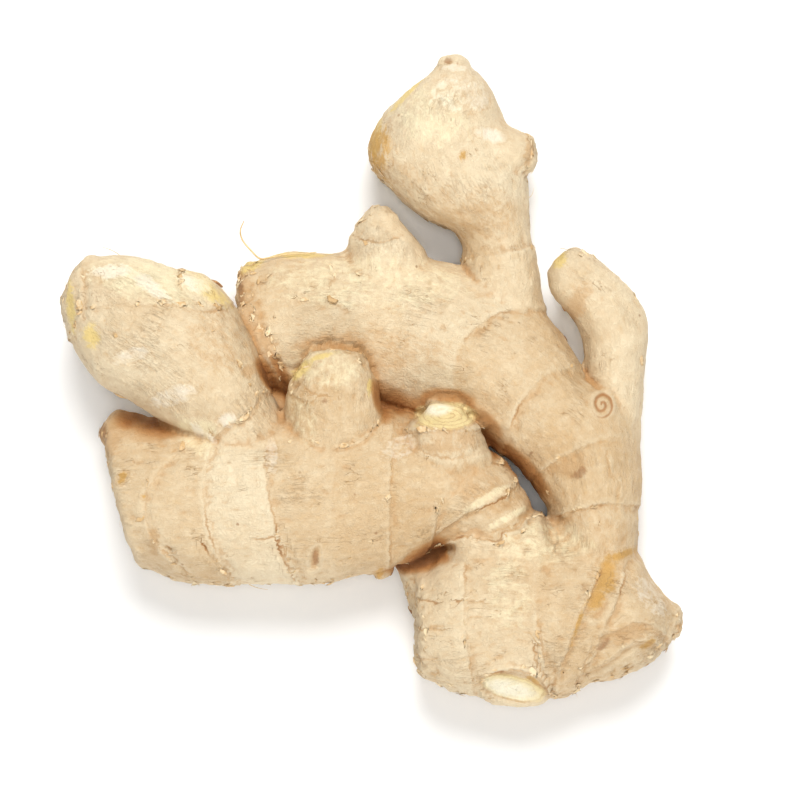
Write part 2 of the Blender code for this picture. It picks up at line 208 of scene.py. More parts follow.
FOOT_BUD = Lobe(
    "foot_bud",
    (
        (46.0, -60.0, 38.5, -60.0, 14.0, 7.0),
        (45.2, -66.0, 39.4, -66.5, 14.0, 5.0),
        (43.8, -68.6, 40.6, -69.0, 14.0, 3.0),
    ),
    head=(1.4, 2.4),
)
FOOT_ROOT = Lobe(
    "foot_root",
    (
        (9.6, -52.0, 24.0, -52.0, 13.5, 10.5),
        (7.4, -46.0, 23.0, -43.0, 13.0, 8.5),
        (5.6, -41.0, 21.0, -37.0, 12.5, 7.5),
    ),
)
SADDLE = Lobe(
    "saddle",
    (
        (22.0, -28.5, 20.5, -43.0, 19.5, 8.6),
        (29.5, -27.5, 29.0, -44.5, 19.5, 9.4),
        (37.0, -28.6, 37.0, -44.5, 19.0, 9.9),
    ),
    tail=(3.0, 2.4),
    head=(2.0, 2.2),
)
BACK = Lobe(
    "back",
    (
        (-56.8, -9.3, -49.0, -41.3, 15.0, 14.8),
        (-46.0, -8.0, -42.0, -44.3, 15.6, 16.6),
        (-34.0, -6.0, -32.0, -45.3, 16.6, 16.2),
        (-22.0, -5.4, -21.0, -44.8, 17.6, 15.8),
        (-10.0, -5.4, -12.0, -44.7, 18.0, 15.4),
        (2.0, -6.0, -1.0, -42.4, 18.6, 14.8),
        (12.0, -8.5, 8.0, -39.5, 19.0, 13.8),
        (22.0, -12.5, 14.0, -36.6, 19.4, 12.6),
        (29.6, -18.6, 18.5, -35.8, 19.4, 11.4),
        (34.2, -25.6, 24.0, -35.6, 19.2, 10.2),
    ),
    tail=(3.2, 4.0),
    head=(3.5, 2.4),
    rings=(
        (-46.6, -20.0, -47.2, -34.5, -40.0, -43.2, 0.4),
        (-34.5, -14.0, -36.0, -30.0, -30.6, -43.5, 0.5),
        (-22.8, -15.2, -22.0, -27.0, -16.2, -43.5, 0.5),
        (-6.9, -14.9, -8.4, -25.0, -8.4, -35.1, 0.3),
        (4.2, -20.6, 4.0, -28.0, 3.9, -36.3, 0.4),
        (18.5, -21.3, 15.9, -25.0, 13.8, -33.4, 0.6),
        (31.5, -22.1, 25.9, -26.6, 19.6, -29.7, 0.8),
    ),
)
HEEL_BUD = Lobe(
    "heel_bud",
    ((-58.0, -17.0, -50.0, -8.0, 15.0, 7.0), (-59.6, -12.6, -54.6, -6.8, 15.5, 5.0)),
    head=(1.6, 2.4),
)
BACK_SPUR = Lobe(
    "back_spur",
    ((6.5, -38.0, -0.5, -40.0, 17.0, 5.0), (4.2, -42.2, 1.0, -43.4, 16.5, 2.0)),
    head=(0.9, 2.0),
)
SHOULDER = Lobe(
    "shoulder",
    (
        (-29.0, -20.2, -20.2, -5.1, 19.0, 11.0),
        (-38.0, -13.8, -25.7, 7.5, 22.0, 12.0),
        (-46.2, -9.0, -30.7, 17.8, 24.0, 12.4),
        (-52.7, -4.5, -36.8, 23.1, 24.6, 12.6),
        (-59.3, -0.3, -44.6, 25.1, 24.6, 12.2),
        (-63.4, 4.7, -50.6, 26.9, 24.4, 11.2),
        (-66.3, 9.4, -56.0, 27.2, 24.0, 9.6),
        (-67.4, 14.6, -60.1, 27.2, 23.6, 7.8),
    ),
    head=(2.4, 2.6),
)
WEB = Lobe(
    "web",
    (
        (-27.0, 3.0, -27.0, -16.0, 12.0, 4.0),
        (-10.0, 3.0, -12.0, -18.0, 11.8, 5.4),
        (5.0, 1.0, 3.0, -20.0, 12.2, 5.4),
        (17.0, -2.0, 15.0, -20.0, 12.6, 4.4),
    ),
)
KNUCKLE = Lobe(
    "knuckle",
    (
        (-19.5, -18.0, 3.0, -18.0, 21.4, 9.4),
        (-19.0, -9.0, 2.4, -9.0, 23.4, 9.4),
        (-18.6, -3.5, 2.0, -3.5, 24.8, 9.0),
        (-16.8, 1.0, 1.2, 0.6, 25.4, 8.2),
        (-14.6, 4.5, -0.6, 3.7, 25.8, 6.8),
    ),
    head=(2.6, 3.2),
    rings=((-17.0, -2.0, -8.0, -0.5, 1.0, -2.0, 0.2),),
)
STUB = Lobe(
    "stub",
    (
        (7.0, -22.0, 27.0, -22.0, 20.5, 10.0),
        (6.5, -15.0, 26.0, -15.6, 24.0, 9.0),
        (6.8, -11.0, 24.4, -11.4, 25.2, 8.2),
        (9.3, -8.6, 22.8, -8.8, 25.8, 7.4),
        (12.0, -6.2, 20.4, -6.7, 26.0, 5.8),
    ),
    head=(1.6, 2.6),
    rings=((8.5, -14.4, 16.5, -17.2, 25.0, -16.2, 0.5),),
    cut=((16.5, -7.6, 30.1), (0.0, 0.73, 0.68)),
)
LOBES = (ARCH, BULB, BULB_KNOB, PEAK, THUMB, FOOT, FOOT_SCAR, FOOT_BUD, FOOT_ROOT, BACK, HEEL_BUD, BACK_SPUR)
LOBES += (SHOULDER, WEB, KNUCKLE, STUB, SADDLE)


class Stain(Enum):
    """What the skin shows in a patch."""

    YELLOW = "yellow"
    PEEL = "peel"
    RUST = "rust"
    BRUISE = "bruise"
    FLESH = "flesh"
    PITH = "pith"
    BARE = "bare"
    HUSK = "husk"


@dataclass(frozen=True)
class Patch:
    """An oval patch of one stain on the upper side.

    It has its half sizes, the turn of its length from +X in degrees, and how strong it is in its middle.
    """

    stain: Stain
    x: float
    y: float
    length: float
    width: float
    turn: float = 0.0
    strength: float = 1.0


@dataclass(frozen=True)
class Mark:
    """A bud, dent or cut on the upper side.

    It has its half sizes, its turn, the heights of its rim and its middle, and how dark its outline is.
    """

    x: float
    y: float
    length: float
    width: float
    turn: float
    rim: float
    middle: float
    drawn: float = 0.0


MARKS = (
    Mark(50.5, -5.3, 2.5, 2.7, 0.0, 0.4, 0.35, 0.25),
    Mark(-12.0, -38.7, 3.4, 1.4, 80.0, 0.3, -0.8),
    Mark(16.4, -8.2, 8.0, 3.6, 0.0, 0.4, -0.2),
    Mark(31.3, -67.0, 8.6, 3.8, -13.0, 0.6, -0.3, 0.35),
    Mark(17.2, 69.8, 1.6, 1.1, 0.0, 0.3, -0.5, 0.5),
    Mark(49.0, -49.0, 3.6, 3.0, 60.0, 0.4, 0.2),
    Mark(28.6, -34.0, 1.5, 1.2, 0.0, 0.3, 0.7),
    Mark(32.2, -31.8, 1.6, 1.3, 30.0, 0.4, 0.7, 0.4),
)
# Circles seen from above where one lobe runs into the next without a crease: x, y and radius.
MELTS = (
    (4.5, 18.5, 10.0),
    (29.0, 15.0, 10.0),
    (50.0, -36.0, 10.0),
    (30.0, -59.0, 7.0),
    (26.0, 50.5, 7.0),
    (33.0, -38.5, 9.0),
    (-52.0, -12.0, 4.0),
    (41.5, -31.0, 5.5),
    (17.6, -36.8, 5.0),
)
# Circles seen from above where the ring scars are worn away: x, y and radius.
FADED = (
    (19.0, 0.5, 11.0),
    (58.5, -11.0, 6.0),
    (-7.0, 20.0, 9.0),
    (29.0, -12.0, 3.0),
    (36.0, -46.0, 5.0),
)
# How tan the skin of a lobe is before its first ring, and past each ring.
BAND_TONES = {
    "arch": (0.25, 0.0, -0.15, 0.45, 0.6, 0.65, 0.3),
    "bulb": (0.1, 0.2, -0.3),
    "bulb_knob": (0.1,),
    "peak": (-0.5, -0.4),
    "thumb": (-0.2, 0.0),
    "foot": (-0.15, 0.15, 0.4, 0.5, 0.3),
    "foot_scar": (0.0,),
    "foot_bud": (0.5,),
    "foot_root": (-0.1,),
    "back": (0.25, 0.1, -0.6, 0.3, 0.45, 0.6, 0.5, 0.3),
    "heel_bud": (0.9,),
    "back_spur": (0.4,),
    "shoulder": (-0.1,),
    "web": (0.8,),
    "knuckle": (0.6, 0.55),
    "stub": (0.4, 0.0),
    "saddle": (0.1,),
}
PATCHES = (
    Patch(Stain.BARE, -46.4, 21.5, 18.0, 6.0, -9.0),
    Patch(Stain.BARE, -10.0, 3.0, 9.5, 5.0, -8.0, 0.3),
    Patch(Stain.BARE, -38.5, -12.0, 6.5, 3.5, -40.0, 0.5),
    Patch(Stain.BARE, -14.5, -9.0, 3.0, 6.0, 20.0, 0.2),
    Patch(Stain.BARE, 0.0, 21.5, 24.0, 6.5, 0.0, 0.24),
    Patch(Stain.BARE, 38.5, -35.5, 12.0, 5.0, 0.0, 0.26),
    Patch(Stain.BARE, 30.0, -46.0, 5.5, 9.0, 0.0, 0.22),
    Patch(Stain.BARE, 14.0, 58.0, 9.0, 8.0, 20.0, 0.3),
    Patch(Stain.BARE, -36.5, -11.5, 4.0, 3.4, 60.0),
    Patch(Stain.YELLOW, -15.2, 2.2, 3.8, 1.7, 42.0),
    Patch(Stain.YELLOW, -10.5, 5.2, 3.6, 0.9, 15.0),
    Patch(Stain.YELLOW, 0.0, -1.6, 0.9, 2.4, 0.0),
    Patch(Stain.YELLOW, -26.3, 25.6, 3.6, 1.8, 30.0),
    Patch(Stain.YELLOW, -17.0, 27.6, 10.0, 0.9),
    Patch(Stain.YELLOW, 41.5, 26.4, 2.6, 1.8, 50.0),
    Patch(Stain.YELLOW, 0.8, 52.5, 8.5, 1.6, 80.0),
    Patch(Stain.YELLOW, 8.0, 63.0, 8.0, 0.9, 48.0),
    Patch(Stain.YELLOW, -65.0, 16.0, 7.5, 1.3, 95.0),
    Patch(Stain.YELLOW, -60.5, 9.5, 3.4, 2.4, 100.0),
    Patch(Stain.YELLOW, -35.0, 19.5, 7.0, 2.0, -42.0),
    Patch(Stain.YELLOW, 12.6, -9.2, 3.4, 0.9, 12.0),
    Patch(Stain.PEEL, -47.6, 20.2, 6.6, 2.0, -40.0),
    Patch(Stain.PEEL, -38.0, 21.0, 4.4, 2.2, -20.0),
    Patch(Stain.PEEL, -56.0, 23.5, 5.5, 2.0, 5.0),
    Patch(Stain.PEEL, -51.8, 5.2, 4.6, 1.8, 15.0, 0.3),
    Patch(Stain.PEEL, -42.5, -3.4, 6.4, 2.2, 18.0, 0.34),
    Patch(Stain.PEEL, -37.5, -11.0, 2.6, 1.4, -50.0),
    Patch(Stain.PEEL, -34.5, -12.6, 2.0, 0.8, -50.0),
    Patch(Stain.PEEL, 26.5, 53.5, 3.8, 2.0, -15.0),
    Patch(Stain.PEEL, 18.5, 68.6, 3.2, 1.0, 0.0, 0.4),
    Patch(Stain.PEEL, 11.9, -38.6, 5.0, 0.7, 26.0),
    Patch(Stain.BRUISE, 16.9, 70.2, 1.5, 0.9),
    Patch(Stain.PEEL, -21.5, -16.5, 1.6, 4.6, 0.0, 0.3),
    Patch(Stain.PEEL, 6.5, -14.5, 4.6, 2.4, 30.0, 0.26),
    Patch(Stain.PEEL, 61.0, -47.0, 6.0, 2.6, -50.0, 0.3),
    Patch(Stain.PEEL, -31.0, -8.5, 2.4, 2.0, 30.0),
    Patch(Stain.RUST, 54.9, -38.0, 5.6, 1.2, 13.0),
    Patch(Stain.RUST, 51.2, -42.6, 5.2, 3.1, 71.0),
    Patch(Stain.RUST, 49.0, -47.2, 4.4, 2.4, 71.0),
    Patch(Stain.RUST, 44.9, -53.4, 6.0, 0.7, 72.0),
    Patch(Stain.HUSK, -26.4, 1.9, 2.4, 2.0),
    Patch(Stain.RUST, 0.8, 50.3, 4.0, 8.0, -6.0, 0.5),
    Patch(Stain.RUST, 3.4, 43.4, 1.0, 3.4, 50.0, 0.3),
    Patch(Stain.HUSK, -27.6, 19.5, 2.4, 6.0, 6.0),
    Patch(Stain.HUSK, -24.6, 10.0, 3.0, 6.4, 20.0),
    Patch(Stain.HUSK, 12.0, 39.0, 15.0, 7.0, -36.0, 0.2),
    Patch(Stain.HUSK, 25.5, 36.5, 8.0, 6.5, 0.0, 0.26),
    Patch(Stain.HUSK, 44.4, 15.6, 9.0, 2.8, 62.0, 0.6),
    Patch(Stain.HUSK, 3.0, 7.0, 16.0, 5.0, -8.0, 0.26),
    Patch(Stain.HUSK, -26.0, 14.0, 3.8, 12.0, 14.0, 0.9),
    Patch(Stain.HUSK, -32.0, 9.0, 8.0, 8.0, 0.0, 0.26),
    Patch(Stain.HUSK, 23.5, -23.0, 9.0, 5.0, -25.0, 0.4),
    Patch(Stain.HUSK, 18.5, -12.8, 7.0, 3.4, 0.0, 0.4),
    Patch(Stain.HUSK, 49.0, -33.0, 9.0, 5.0, 0.0, 0.2),
    Patch(Stain.PEEL, 19.5, 62.5, 7.0, 4.5, 0.0, 0.18),
    Patch(Stain.HUSK, -57.6, -12.5, 4.0, 6.5, 10.0, 0.6),
    Patch(Stain.HUSK, -51.0, -11.5, 9.0, 2.4, -14.0, 0.5),
    Patch(Stain.HUSK, 29.6, -27.2, 5.2, 1.3, 29.0, 0.4),
    Patch(Stain.HUSK, 16.3, -33.4, 4.4, 2.2, 30.0, 0.4),
    Patch(Stain.BARE, 25.5, -25.4, 7.0, 1.2, 31.0, 0.5),
    Patch(Stain.BARE, 29.6, -30.0, 6.4, 1.0, 28.0, 0.5),
    Patch(Stain.HUSK, 34.8, 50.5, 1.4, 4.6, -4.0),
    Patch(Stain.HUSK, 44.0, -18.6, 5.4, 3.0, 20.0),
    Patch(Stain.HUSK, 56.0, -55.0, 7.0, 3.0, 15.0),
    Patch(Stain.HUSK, 14.0, -14.6, 4.6, 1.6, -5.0),
    Patch(Stain.HUSK, 21.0, -12.8, 3.6, 1.8, -10.0),
    Patch(Stain.RUST, 35.8, -65.8, 3.0, 0.9, -42.0),
    Patch(Stain.RUST, 29.2, -64.7, 1.6, 0.7, 5.0),
    Patch(Stain.RUST, 2.0, -42.5, 2.0, 1.2, 60.0),
    Patch(Stain.RUST, -49.1, -25.3, 0.9, 0.8),
    Patch(Stain.RUST, 20.2, 49.0, 1.4, 1.0, 60.0),
    Patch(Stain.RUST, 60.5, -57.5, 2.4, 1.2, 40.0),
    Patch(Stain.HUSK, -22.2, 8.4, 1.4, 2.6, 15.0),
    Patch(Stain.RUST, -53.9, -21.2, 1.9, 1.3, 60.0),
    Patch(Stain.HUSK, -47.0, -35.3, 1.6, 4.4),
    Patch(Stain.BRUISE, -59.3, -11.0, 1.6, 3.4, 20.0),
    Patch(Stain.BRUISE, -28.6, 20.0, 0.9, 6.0, 6.0),
    Patch(Stain.BRUISE, -9.9, -4.5, 1.0, 0.9),
    Patch(Stain.BRUISE, 45.5, -20.2, 2.4, 1.4, 40.0),
    Patch(Stain.BRUISE, 35.0, -16.0, 0.9, 0.5, 40.0),
    Patch(Stain.BRUISE, -12.0, -38.7, 1.0, 2.6),
    Patch(Stain.BRUISE, 38.4, 25.0, 0.9, 1.8),
    Patch(Stain.BRUISE, 50.5, -57.5, 1.2, 3.0, -35.0),
    Patch(Stain.FLESH, 16.4, -7.7, 7.2, 3.2, 0.0),
    Patch(Stain.FLESH, 31.2, -67.3, 7.6, 2.9, -14.0),
    Patch(Stain.PITH, 14.6, -6.4, 3.2, 1.4, 5.0, 0.7),
    Patch(Stain.PITH, 30.6, -67.6, 6.6, 2.4, -15.0),
)


@dataclass(frozen=True)
class Fold:
    """The ragged edge of an old scale leaf, or a crease.

    It is a line seen from above, with its height, its half width and its number of flakes. They keep to one
    lobe where a lobe is named.
    """

    points: tuple[tuple[float, float], ...]
    height: float
    width: float = 0.6
    flakes: int = 0
    lobe: str = ""


FOLDS = (
    Fold(
        ((-34.3, -12.6), (-31.0, -9.6), (-28.2, -8.9), (-25.6, -6.2), (-24.4, -3.0), (-22.0, -2.4)),
        0.32, 0.5, 10,
    ),
    Fold(((-6.8, -14.7), (-3.6, -14.0), (-1.0, -12.3), (0.6, -10.3), (2.4, -8.6)), 0.22, 0.4, 5),
    Fold(((-15.6, -10.0), (-13.6, -12.6), (-11.0, -14.2)), 0.12, 0.5, 2),
    Fold(((7.0, -10.4), (11.0, -11.0), (16.0, -10.7), (21.0, -10.9), (24.6, -10.4)), 0.3, 0.45, 7),
    Fold(((7.0, -10.9), (8.2, -13.6), (9.8, -15.2)), -0.35, 0.35),
    Fold(
        ((37.4, -29.4), (34.0, -30.2), (32.6, -32.6), (29.2, -33.4), (28.4, -35.4), (24.0, -35.0)),
        0.34, 0.6, 7,
    ),
    Fold(((20.5, -34.4), (15.2, -36.0), (10.8, -38.2), (6.5, -40.6)), 0.45, 0.45, 3),
    Fold(((46.0, -64.0), (51.5, -61.0), (54.9, -58.2), (58.0, -56.8), (61.3, -57.0), (63.5, -58.4)), 0.5),
    Fold(((50.0, -55.0), (54.0, -54.0), (58.0, -52.6), (62.5, -54.0), (65.5, -56.5)), 0.45),
    Fold(((51.8, -16.5), (52.8, -20.2), (54.7, -22.3), (54.4, -25.0)), 0.25, 0.35),
    Fold(((-41.5, 24.6), (-40.0, 19.0), (-36.0, 16.2), (-31.5, 15.6)), 0.25, 0.5, 6),
    Fold(((-66.0, 8.5), (-63.2, 13.0), (-62.5, 19.0), (-63.2, 24.0)), 0.3, 0.5, 6),
    Fold(((-58.0, 11.5), (-50.0, 9.0), (-42.0, 4.5)), 0.12, 0.5),
    Fold(((-16.4, -3.2), (-14.6, -4.2), (-12.6, -4.4)), 0.2, 0.4, 2),
    Fold(((-14.2, -1.4), (-12.0, -2.6), (-9.8, -3.0)), -0.25, 0.35),
    Fold(((1.0, 62.0), (-1.0, 54.5), (0.5, 47.0)), 0.2, 0.6, 6),
    Fold(((23.6, -66.0), (27.0, -63.6), (32.0, -62.9), (36.6, -64.4), (39.6, -68.6)), 0.4, 0.5, 8),
    Fold(((36.0, -58.0), (36.4, -61.0), (37.4, -63.4), (39.0, -65.8), (39.9, -68.6)), -1.1, 0.5),
    Fold(((48.8, -58.0), (47.0, -62.0), (45.2, -66.4)), -0.8, 0.4),
    Fold(((-8.6, 24.6), (-8.0, 22.6), (-8.4, 21.2)), -0.4, 0.35, 2),
    Fold(((-8.8, 17.6), (-6.4, 17.0), (-5.4, 16.0)), 0.3, 0.4, 2),
    Fold(((8.4, 18.2), (8.0, 16.2)), -0.35, 0.3),
    Fold(((41.4, -62.6), (40.8, -65.6), (40.4, -68.6)), 0.3, 0.4),
    Fold(((-45.6, 16.9), (-41.0, 16.3), (-36.4, 15.2), (-30.2, 17.0)), 0.22, 0.45, 4),
    Fold(((-60.0, 16.0), (-54.0, 16.6), (-47.0, 16.4)), 0.14, 0.45, 2),
    Fold(((10.8, -47.5), (14.2, -48.0)), -0.4, 0.3),
    Fold(((11.0, -53.9), (15.6, -53.8)), -0.6, 0.35),
    Fold(((11.4, -60.6), (14.6, -60.9)), -0.35, 0.3),
    Fold(((19.0, -47.8), (24.5, -48.0)), -0.45, 0.35),
    Fold(((21.0, -51.6), (25.0, -51.2)), -0.3, 0.3),
    Fold(((-24.5, -34.0), (-20.5, -33.6)), -0.3, 0.3),
    Fold(((-44.6, -36.6), (-42.6, -39.6), (-40.0, -43.2)), -0.6, 0.4),
    Fold(((-36.0, -35.6), (-33.4, -39.8), (-30.4, -43.6)), -0.6, 0.4),
    Fold(((-20.4, -32.6), (-19.2, -37.0), (-16.4, -43.2)), -0.5, 0.4),
    Fold(((-46.4, -35.6), (-44.2, -37.2), (-42.6, -37.0)), -0.4, 0.35),
)
EDGES = (
    Fold(((-21.5, 2.0), (-23.0, 7.0), (-25.0, 12.0), (-27.0, 18.0), (-27.0, 24.5)), 0.6, 2.6, 44, "arch"),
    Fold(((9.4, -46.0), (10.0, -58.0), (12.0, -64.5), (17.0, -68.5), (25.0, -70.0)), 0.5, 2.4, 44),
    Fold(((36.0, 53.5), (35.6, 50.0), (34.6, 45.6)), 0.45, 1.6, 16),
    Fold(((67.5, -52.0), (66.0, -56.5), (60.0, -61.5), (54.0, -64.8), (46.0, -68.0)), 0.35, 1.6, 34),
    Fold(((-3.5, 32.0), (-4.5, 35.0), (0.5, 38.0)), 0.25, 1.6, 8),
    Fold(((-57.5, -34.0), (-50.5, -42.5), (-38.0, -45.0), (-20.0, -45.5), (0.0, -43.5)), 0.25, 1.4, 30),
    Fold(((-58.5, -11.0), (-57.0, -20.0), (-57.0, -30.0)), 0.3, 1.6, 12),
    Fold(((-67.5, 10.0), (-67.5, 20.0), (-62.0, 27.0)), 0.25, 1.6, 10),
    Fold(((44.0, 29.0), (52.0, 27.0), (59.0, 18.0)), 0.2, 1.2, 8),
    Fold(((0.0, 47.0), (6.0, 38.0), (16.0, 33.0), (19.0, 27.0)), 0.25, 1.2, 8),
    Fold(((-17.0, -1.5), (-13.0, 5.5), (-8.0, 7.0), (-1.0, 4.5)), 0.35, 1.6, 14),
)


@dataclass(frozen=True)
class CreaseShade:
    """An oval seen from above where shade is painted into a crease between two lobes.

    It has its half sizes, turn and strength. An open one also paints shade on skin that has no other lobe
    close to it.
    """

    x: float
    y: float
    length: float
    width: float
    turn: float
    strength: float
    is_open: bool = False


# Ovals of painted shade in the creases between lobes and at the edges of gaps.
CREASE_SHADES = (
    CreaseShade(4.2, -4.4, 5.6, 6.4, 0.0, 0.85),
    CreaseShade(-8.4, 8.0, 11.0, 4.0, 0.0, 0.5),
    CreaseShade(-21.8, 0.4, 9.5, 4.6, -58.0, 1.0),
    CreaseShade(16.0, -5.4, 13.0, 5.4, 0.0, 0.8),
    CreaseShade(26.4, -12.6, 2.6, 6.0, 10.0, 1.0),
    CreaseShade(16.6, -3.4, 7.0, 2.0, -6.0, 0.5, True),
    CreaseShade(33.4, -19.6, 10.5, 3.0, -47.0, 0.7, True),
    CreaseShade(26.0, -9.6, 6.0, 2.2, -52.0, 0.55, True),
    CreaseShade(-49.4, -9.4, 9.0, 4.6, -18.0, 0.85),
    CreaseShade(10.6, -38.4, 10.5, 4.4, 15.0, 1.0),
    CreaseShade(11.4, -39.5, 5.6, 1.5, 23.0, 1.0, True),
    CreaseShade(-22.4, 0.6, 6.0, 1.8, -60.0, 0.9, True),
    CreaseShade(1.6, -3.6, 1.6, 5.0, 12.0, 0.75, True),
    CreaseShade(34.0, -22.6, 5.0, 7.0, 40.0, 0.6),
    CreaseShade(18.4, 21.0, 4.0, 5.0, 0.0, 0.35),
    CreaseShade(42.4, 3.0, 3.0, 6.0, 30.0, 0.35),
)
# Lobes that stand above the others; their own skin gets no painted crease shade.
PROUD = ("knuckle", "stub", "shoulder", "saddle")


@dataclass(frozen=True)
class Hollow:
    """How deep the skin lies under itself when smoothed, kept on the mesh as a number up to 1.

    It has the name that the finish reads, the steps of smoothing, the depth in millimetres that counts as 1,
    and the lowest number. A crest is below 0.
    """

    name: str
    steps: int
    depth: float
    lowest: float = 0.0


# The finish paints shade from these: darker in the crevices and broad basins, painted shade in the fine
# hollows and a painted highlight on the fine crests.
HOLLOWS = (Hollow("crevice", 60, 1.6), Hollow("basin", 320, 4.0), Hollow("crack", 5, 0.12, -1.0))


def smooth_path(points: np.ndarray, step: float) -> np.ndarray:
    """Rows of a Catmull-Rom curve.

    Args:
        points: Rows that the curve passes through.
        step: Largest distance between two rows of the result.

    Returns:
        The rows of the curve, ends included.
    """
    points = np.asarray(points, float)
    knots = np.vstack([2 * points[0] - points[1], points, 2 * points[-1] - points[-2]])
    rows = []
    for a, b, c, d in zip(knots, knots[1:], knots[2:], knots[3:]):
        count = max(2, math.ceil(np.abs(c - b).max() / step))
        for t in np.arange(count)[:, None] / count:
            square = (2 * a - 5 * b + 4 * c - d) * t**2
            cube = (3 * b - a - 3 * c + d) * t**3
            rows.append(0.5 * (2 * b + (c - a) * t + square + cube))
    return np.vstack([*rows, points[-1:]])


def noise_field(points: np.ndarray, size: float, octaves: int = 1, shift: float = 0.0) -> np.ndarray:
    """Smooth noise from about -1 to 1 at each point.

    Args:
        points: Points in millimetres.
        size: Distance between two swellings.
        octaves: Number of layers, each half the size and half the strength of the last.
        shift: Moves the pattern, so that two layers differ.

    Returns:
        One value a point.
    """
    total = np.zeros(len(points))
    strength = 1.0
    for _ in range(octaves):
        scaled = points / size + shift
        total += strength * np.array([noise.noise(p) for p in scaled.tolist()])
        strength /= 2
        size /= 2
    return total


def smooth_step(low: float, high: float, values: np.ndarray) -> np.ndarray:
    """Runs from 0 at low to 1 at high, with soft ends."""
    t = np.clip((values - low) / (high - low), 0.0, 1.0)
    return t * t * (3 - 2 * t)


def add_object(name: str, data: bpy.types.ID) -> bpy.types.Object:
    """Adds an object to the scene.

    Args:
        name: Its name.
        data: Its mesh, light or camera.

    Returns:
        The object, at the origin.
    """
    made = bpy.data.objects.new(name, data)
    bpy.context.scene.collection.objects.link(made)
    return made


def keep_above_table(mesh: bpy.types.Mesh) -> None:
    """Lifts the points of a mesh that reach through the table.

    Args:
        mesh: The mesh.
    """
    places = np.empty(len(mesh.vertices) * 3)
    mesh.vertices.foreach_get("co", places)
    places[2::3] = np.maximum(places[2::3], 0.0)
    mesh.vertices.foreach_set("co", places)


@dataclass(frozen=True)
class Places:
    """Where points lie on one lobe.

    It says how far out, along and across it they are, where they are in its own axes, and which way it grows.
    """

    out: np.ndarray
    reach: np.ndarray
    across: np.ndarray
    local: np.ndarray
    heading: np.ndarray


class Spine:
    """The line down the middle of a lobe, with the directions and the size of its section at each point."""

    STEP = 1.2
    CAP_RINGS = 9
    NEAR_BLEND = 4.0
    MARGIN = 9.0
    FAINT = 0.35
    WORN = 0.08
    BATCH = 4000

    def __init__(self, lobe: Lobe) -> None:
        """Works out the sections of a lobe.

        Args:
            lobe: The lobe.
        """
        self.lobe = lobe
        path = smooth_path(np.array(lobe.stations), self.STEP)
        left, right = path[:, 0:2], path[:, 2:4]
        self.middle = np.column_stack([(left + right) / 2, path[:, 4]])
        self.half = np.linalg.norm(right - left, axis=1) / 2
        self.depth = path[:, 5]
        self.side = np.column_stack([(right - left) / (2 * self.half[:, None]), np.zeros(len(path))])
        self.along = np.column_stack([-self.side[:, 1], self.side[:, 0], np.zeros(len(path))])
        steps = (np.diff(self.middle, axis=0) * self.along[1:]).sum(1)
        self.reach = np.concatenate([[0.0], np.cumsum(steps)])
        self.rings = [self.fit_ring(ring) for ring in lobe.rings]

    def cap(self, end: int, shape: tuple[float, float]) -> tuple[list[tuple], np.ndarray]:
        """Sections past one end of the lobe.

        Args:
            end: 0 for the tail, -1 for the head.
            shape: Length of the cap and how square it is.

        Returns:
            The sections, nearest first, and the pole that closes them.
        """
        length, square = shape
        outward = self.along[end] * (-1.0 if end == 0 else 1.0)
        rows = []
        for k in range(1, self.CAP_RINGS):
            reach = math.sin(0.5 * math.pi * k / self.CAP_RINGS)
            shrink = (1 - reach**square) ** (1 / square)
            middle = self.middle[end] + outward * length * reach
            rows.append((middle, self.half[end] * shrink, self.depth[end] * shrink))
        return rows, self.middle[end] + outward * length

    def place(self, points: np.ndarray) -> Places:
        """Finds where points lie on the lobe. Points well away from it are far out and have no place.

        Args:
            points: Points in millimetres.

        Returns:
            Their places.
        """
        count = len(points)
        result = Places(np.full(count, FAR), *np.zeros((2, count)), *np.zeros((2, count, 3)))
        low = self.middle.min(0) - self.half.max() - self.MARGIN
        high = self.middle.max(0) + self.half.max() + self.MARGIN
        close = np.nonzero(((points > low) & (points < high)).all(1))[0]
        caps = np.zeros(len(self.middle))
        caps[[0, -1]] = 1 / self.lobe.tail[0], 1 / self.lobe.head[0]
        for first in range(0, len(close), self.BATCH):
            chosen = close[first : first + self.BATCH]
            offset = points[chosen, None] - self.middle[None]
            far = (offset**2).sum(2)
            weight = np.exp((far.min(1)[:, None] - far) / self.NEAR_BLEND**2)
            weight /= weight.sum(1)[:, None]
            past = (offset * self.along).sum(2)
            sideways = (offset * self.side).sum(2)
            across = (sideways / self.half * weight).sum(1)
            rise = (offset[:, :, 2] / self.depth * weight).sum(1)
            beyond = (past * caps * weight).sum(1)
            reach = ((self.reach + past) * weight).sum(1)
            result.out[chosen] = np.sqrt(across**2 + rise**2 + beyond**2)
            result.reach[chosen] = reach
            result.across[chosen] = across
            result.heading[chosen] = weight @ self.along
            result.local[chosen] = np.column_stack(
                [reach, (sideways * weight).sum(1), (offset[:, :, 2] * weight).sum(1)]
            )
        return result

    def fit_ring(self, ring: tuple[float, ...]) -> tuple[float, float, float, float]:
        """Fits a ring through three points seen from above.

        Args:
            ring: The points x and y, and the height of the ring.

        Returns:
            Its start, skew and bow along the lobe, and its height.
        """
        flat = np.reshape(ring[:6], (3, 2))
        near = ((flat[:, None] - self.middle[None, :, :2]) ** 2).sum(2).argmin(1)
        places = self.place(np.column_stack([flat, self.middle[near, 2]]))
        terms = np.column_stack([np.ones(3), places.across, 1 - places.across**2])
        start, skew, bow = np.linalg.solve(terms, places.reach)
        return start, skew, bow, ring[6] if ring[6] > self.FAINT else self.WORN

    def past_rings(self, places: Places) -> np.ndarray:
        """Measures how far past each ring the points are.

        Args:
            places: Where the points lie on the lobe.

        Returns:
            One row a ring.
        """
        rows = []
        for start, skew, bow, _ in self.rings:
            rows.append(places.reach - (start + skew * places.across + bow * (1 - places.across**2)))
        return np.array(rows).reshape(len(self.rings), len(places.reach))


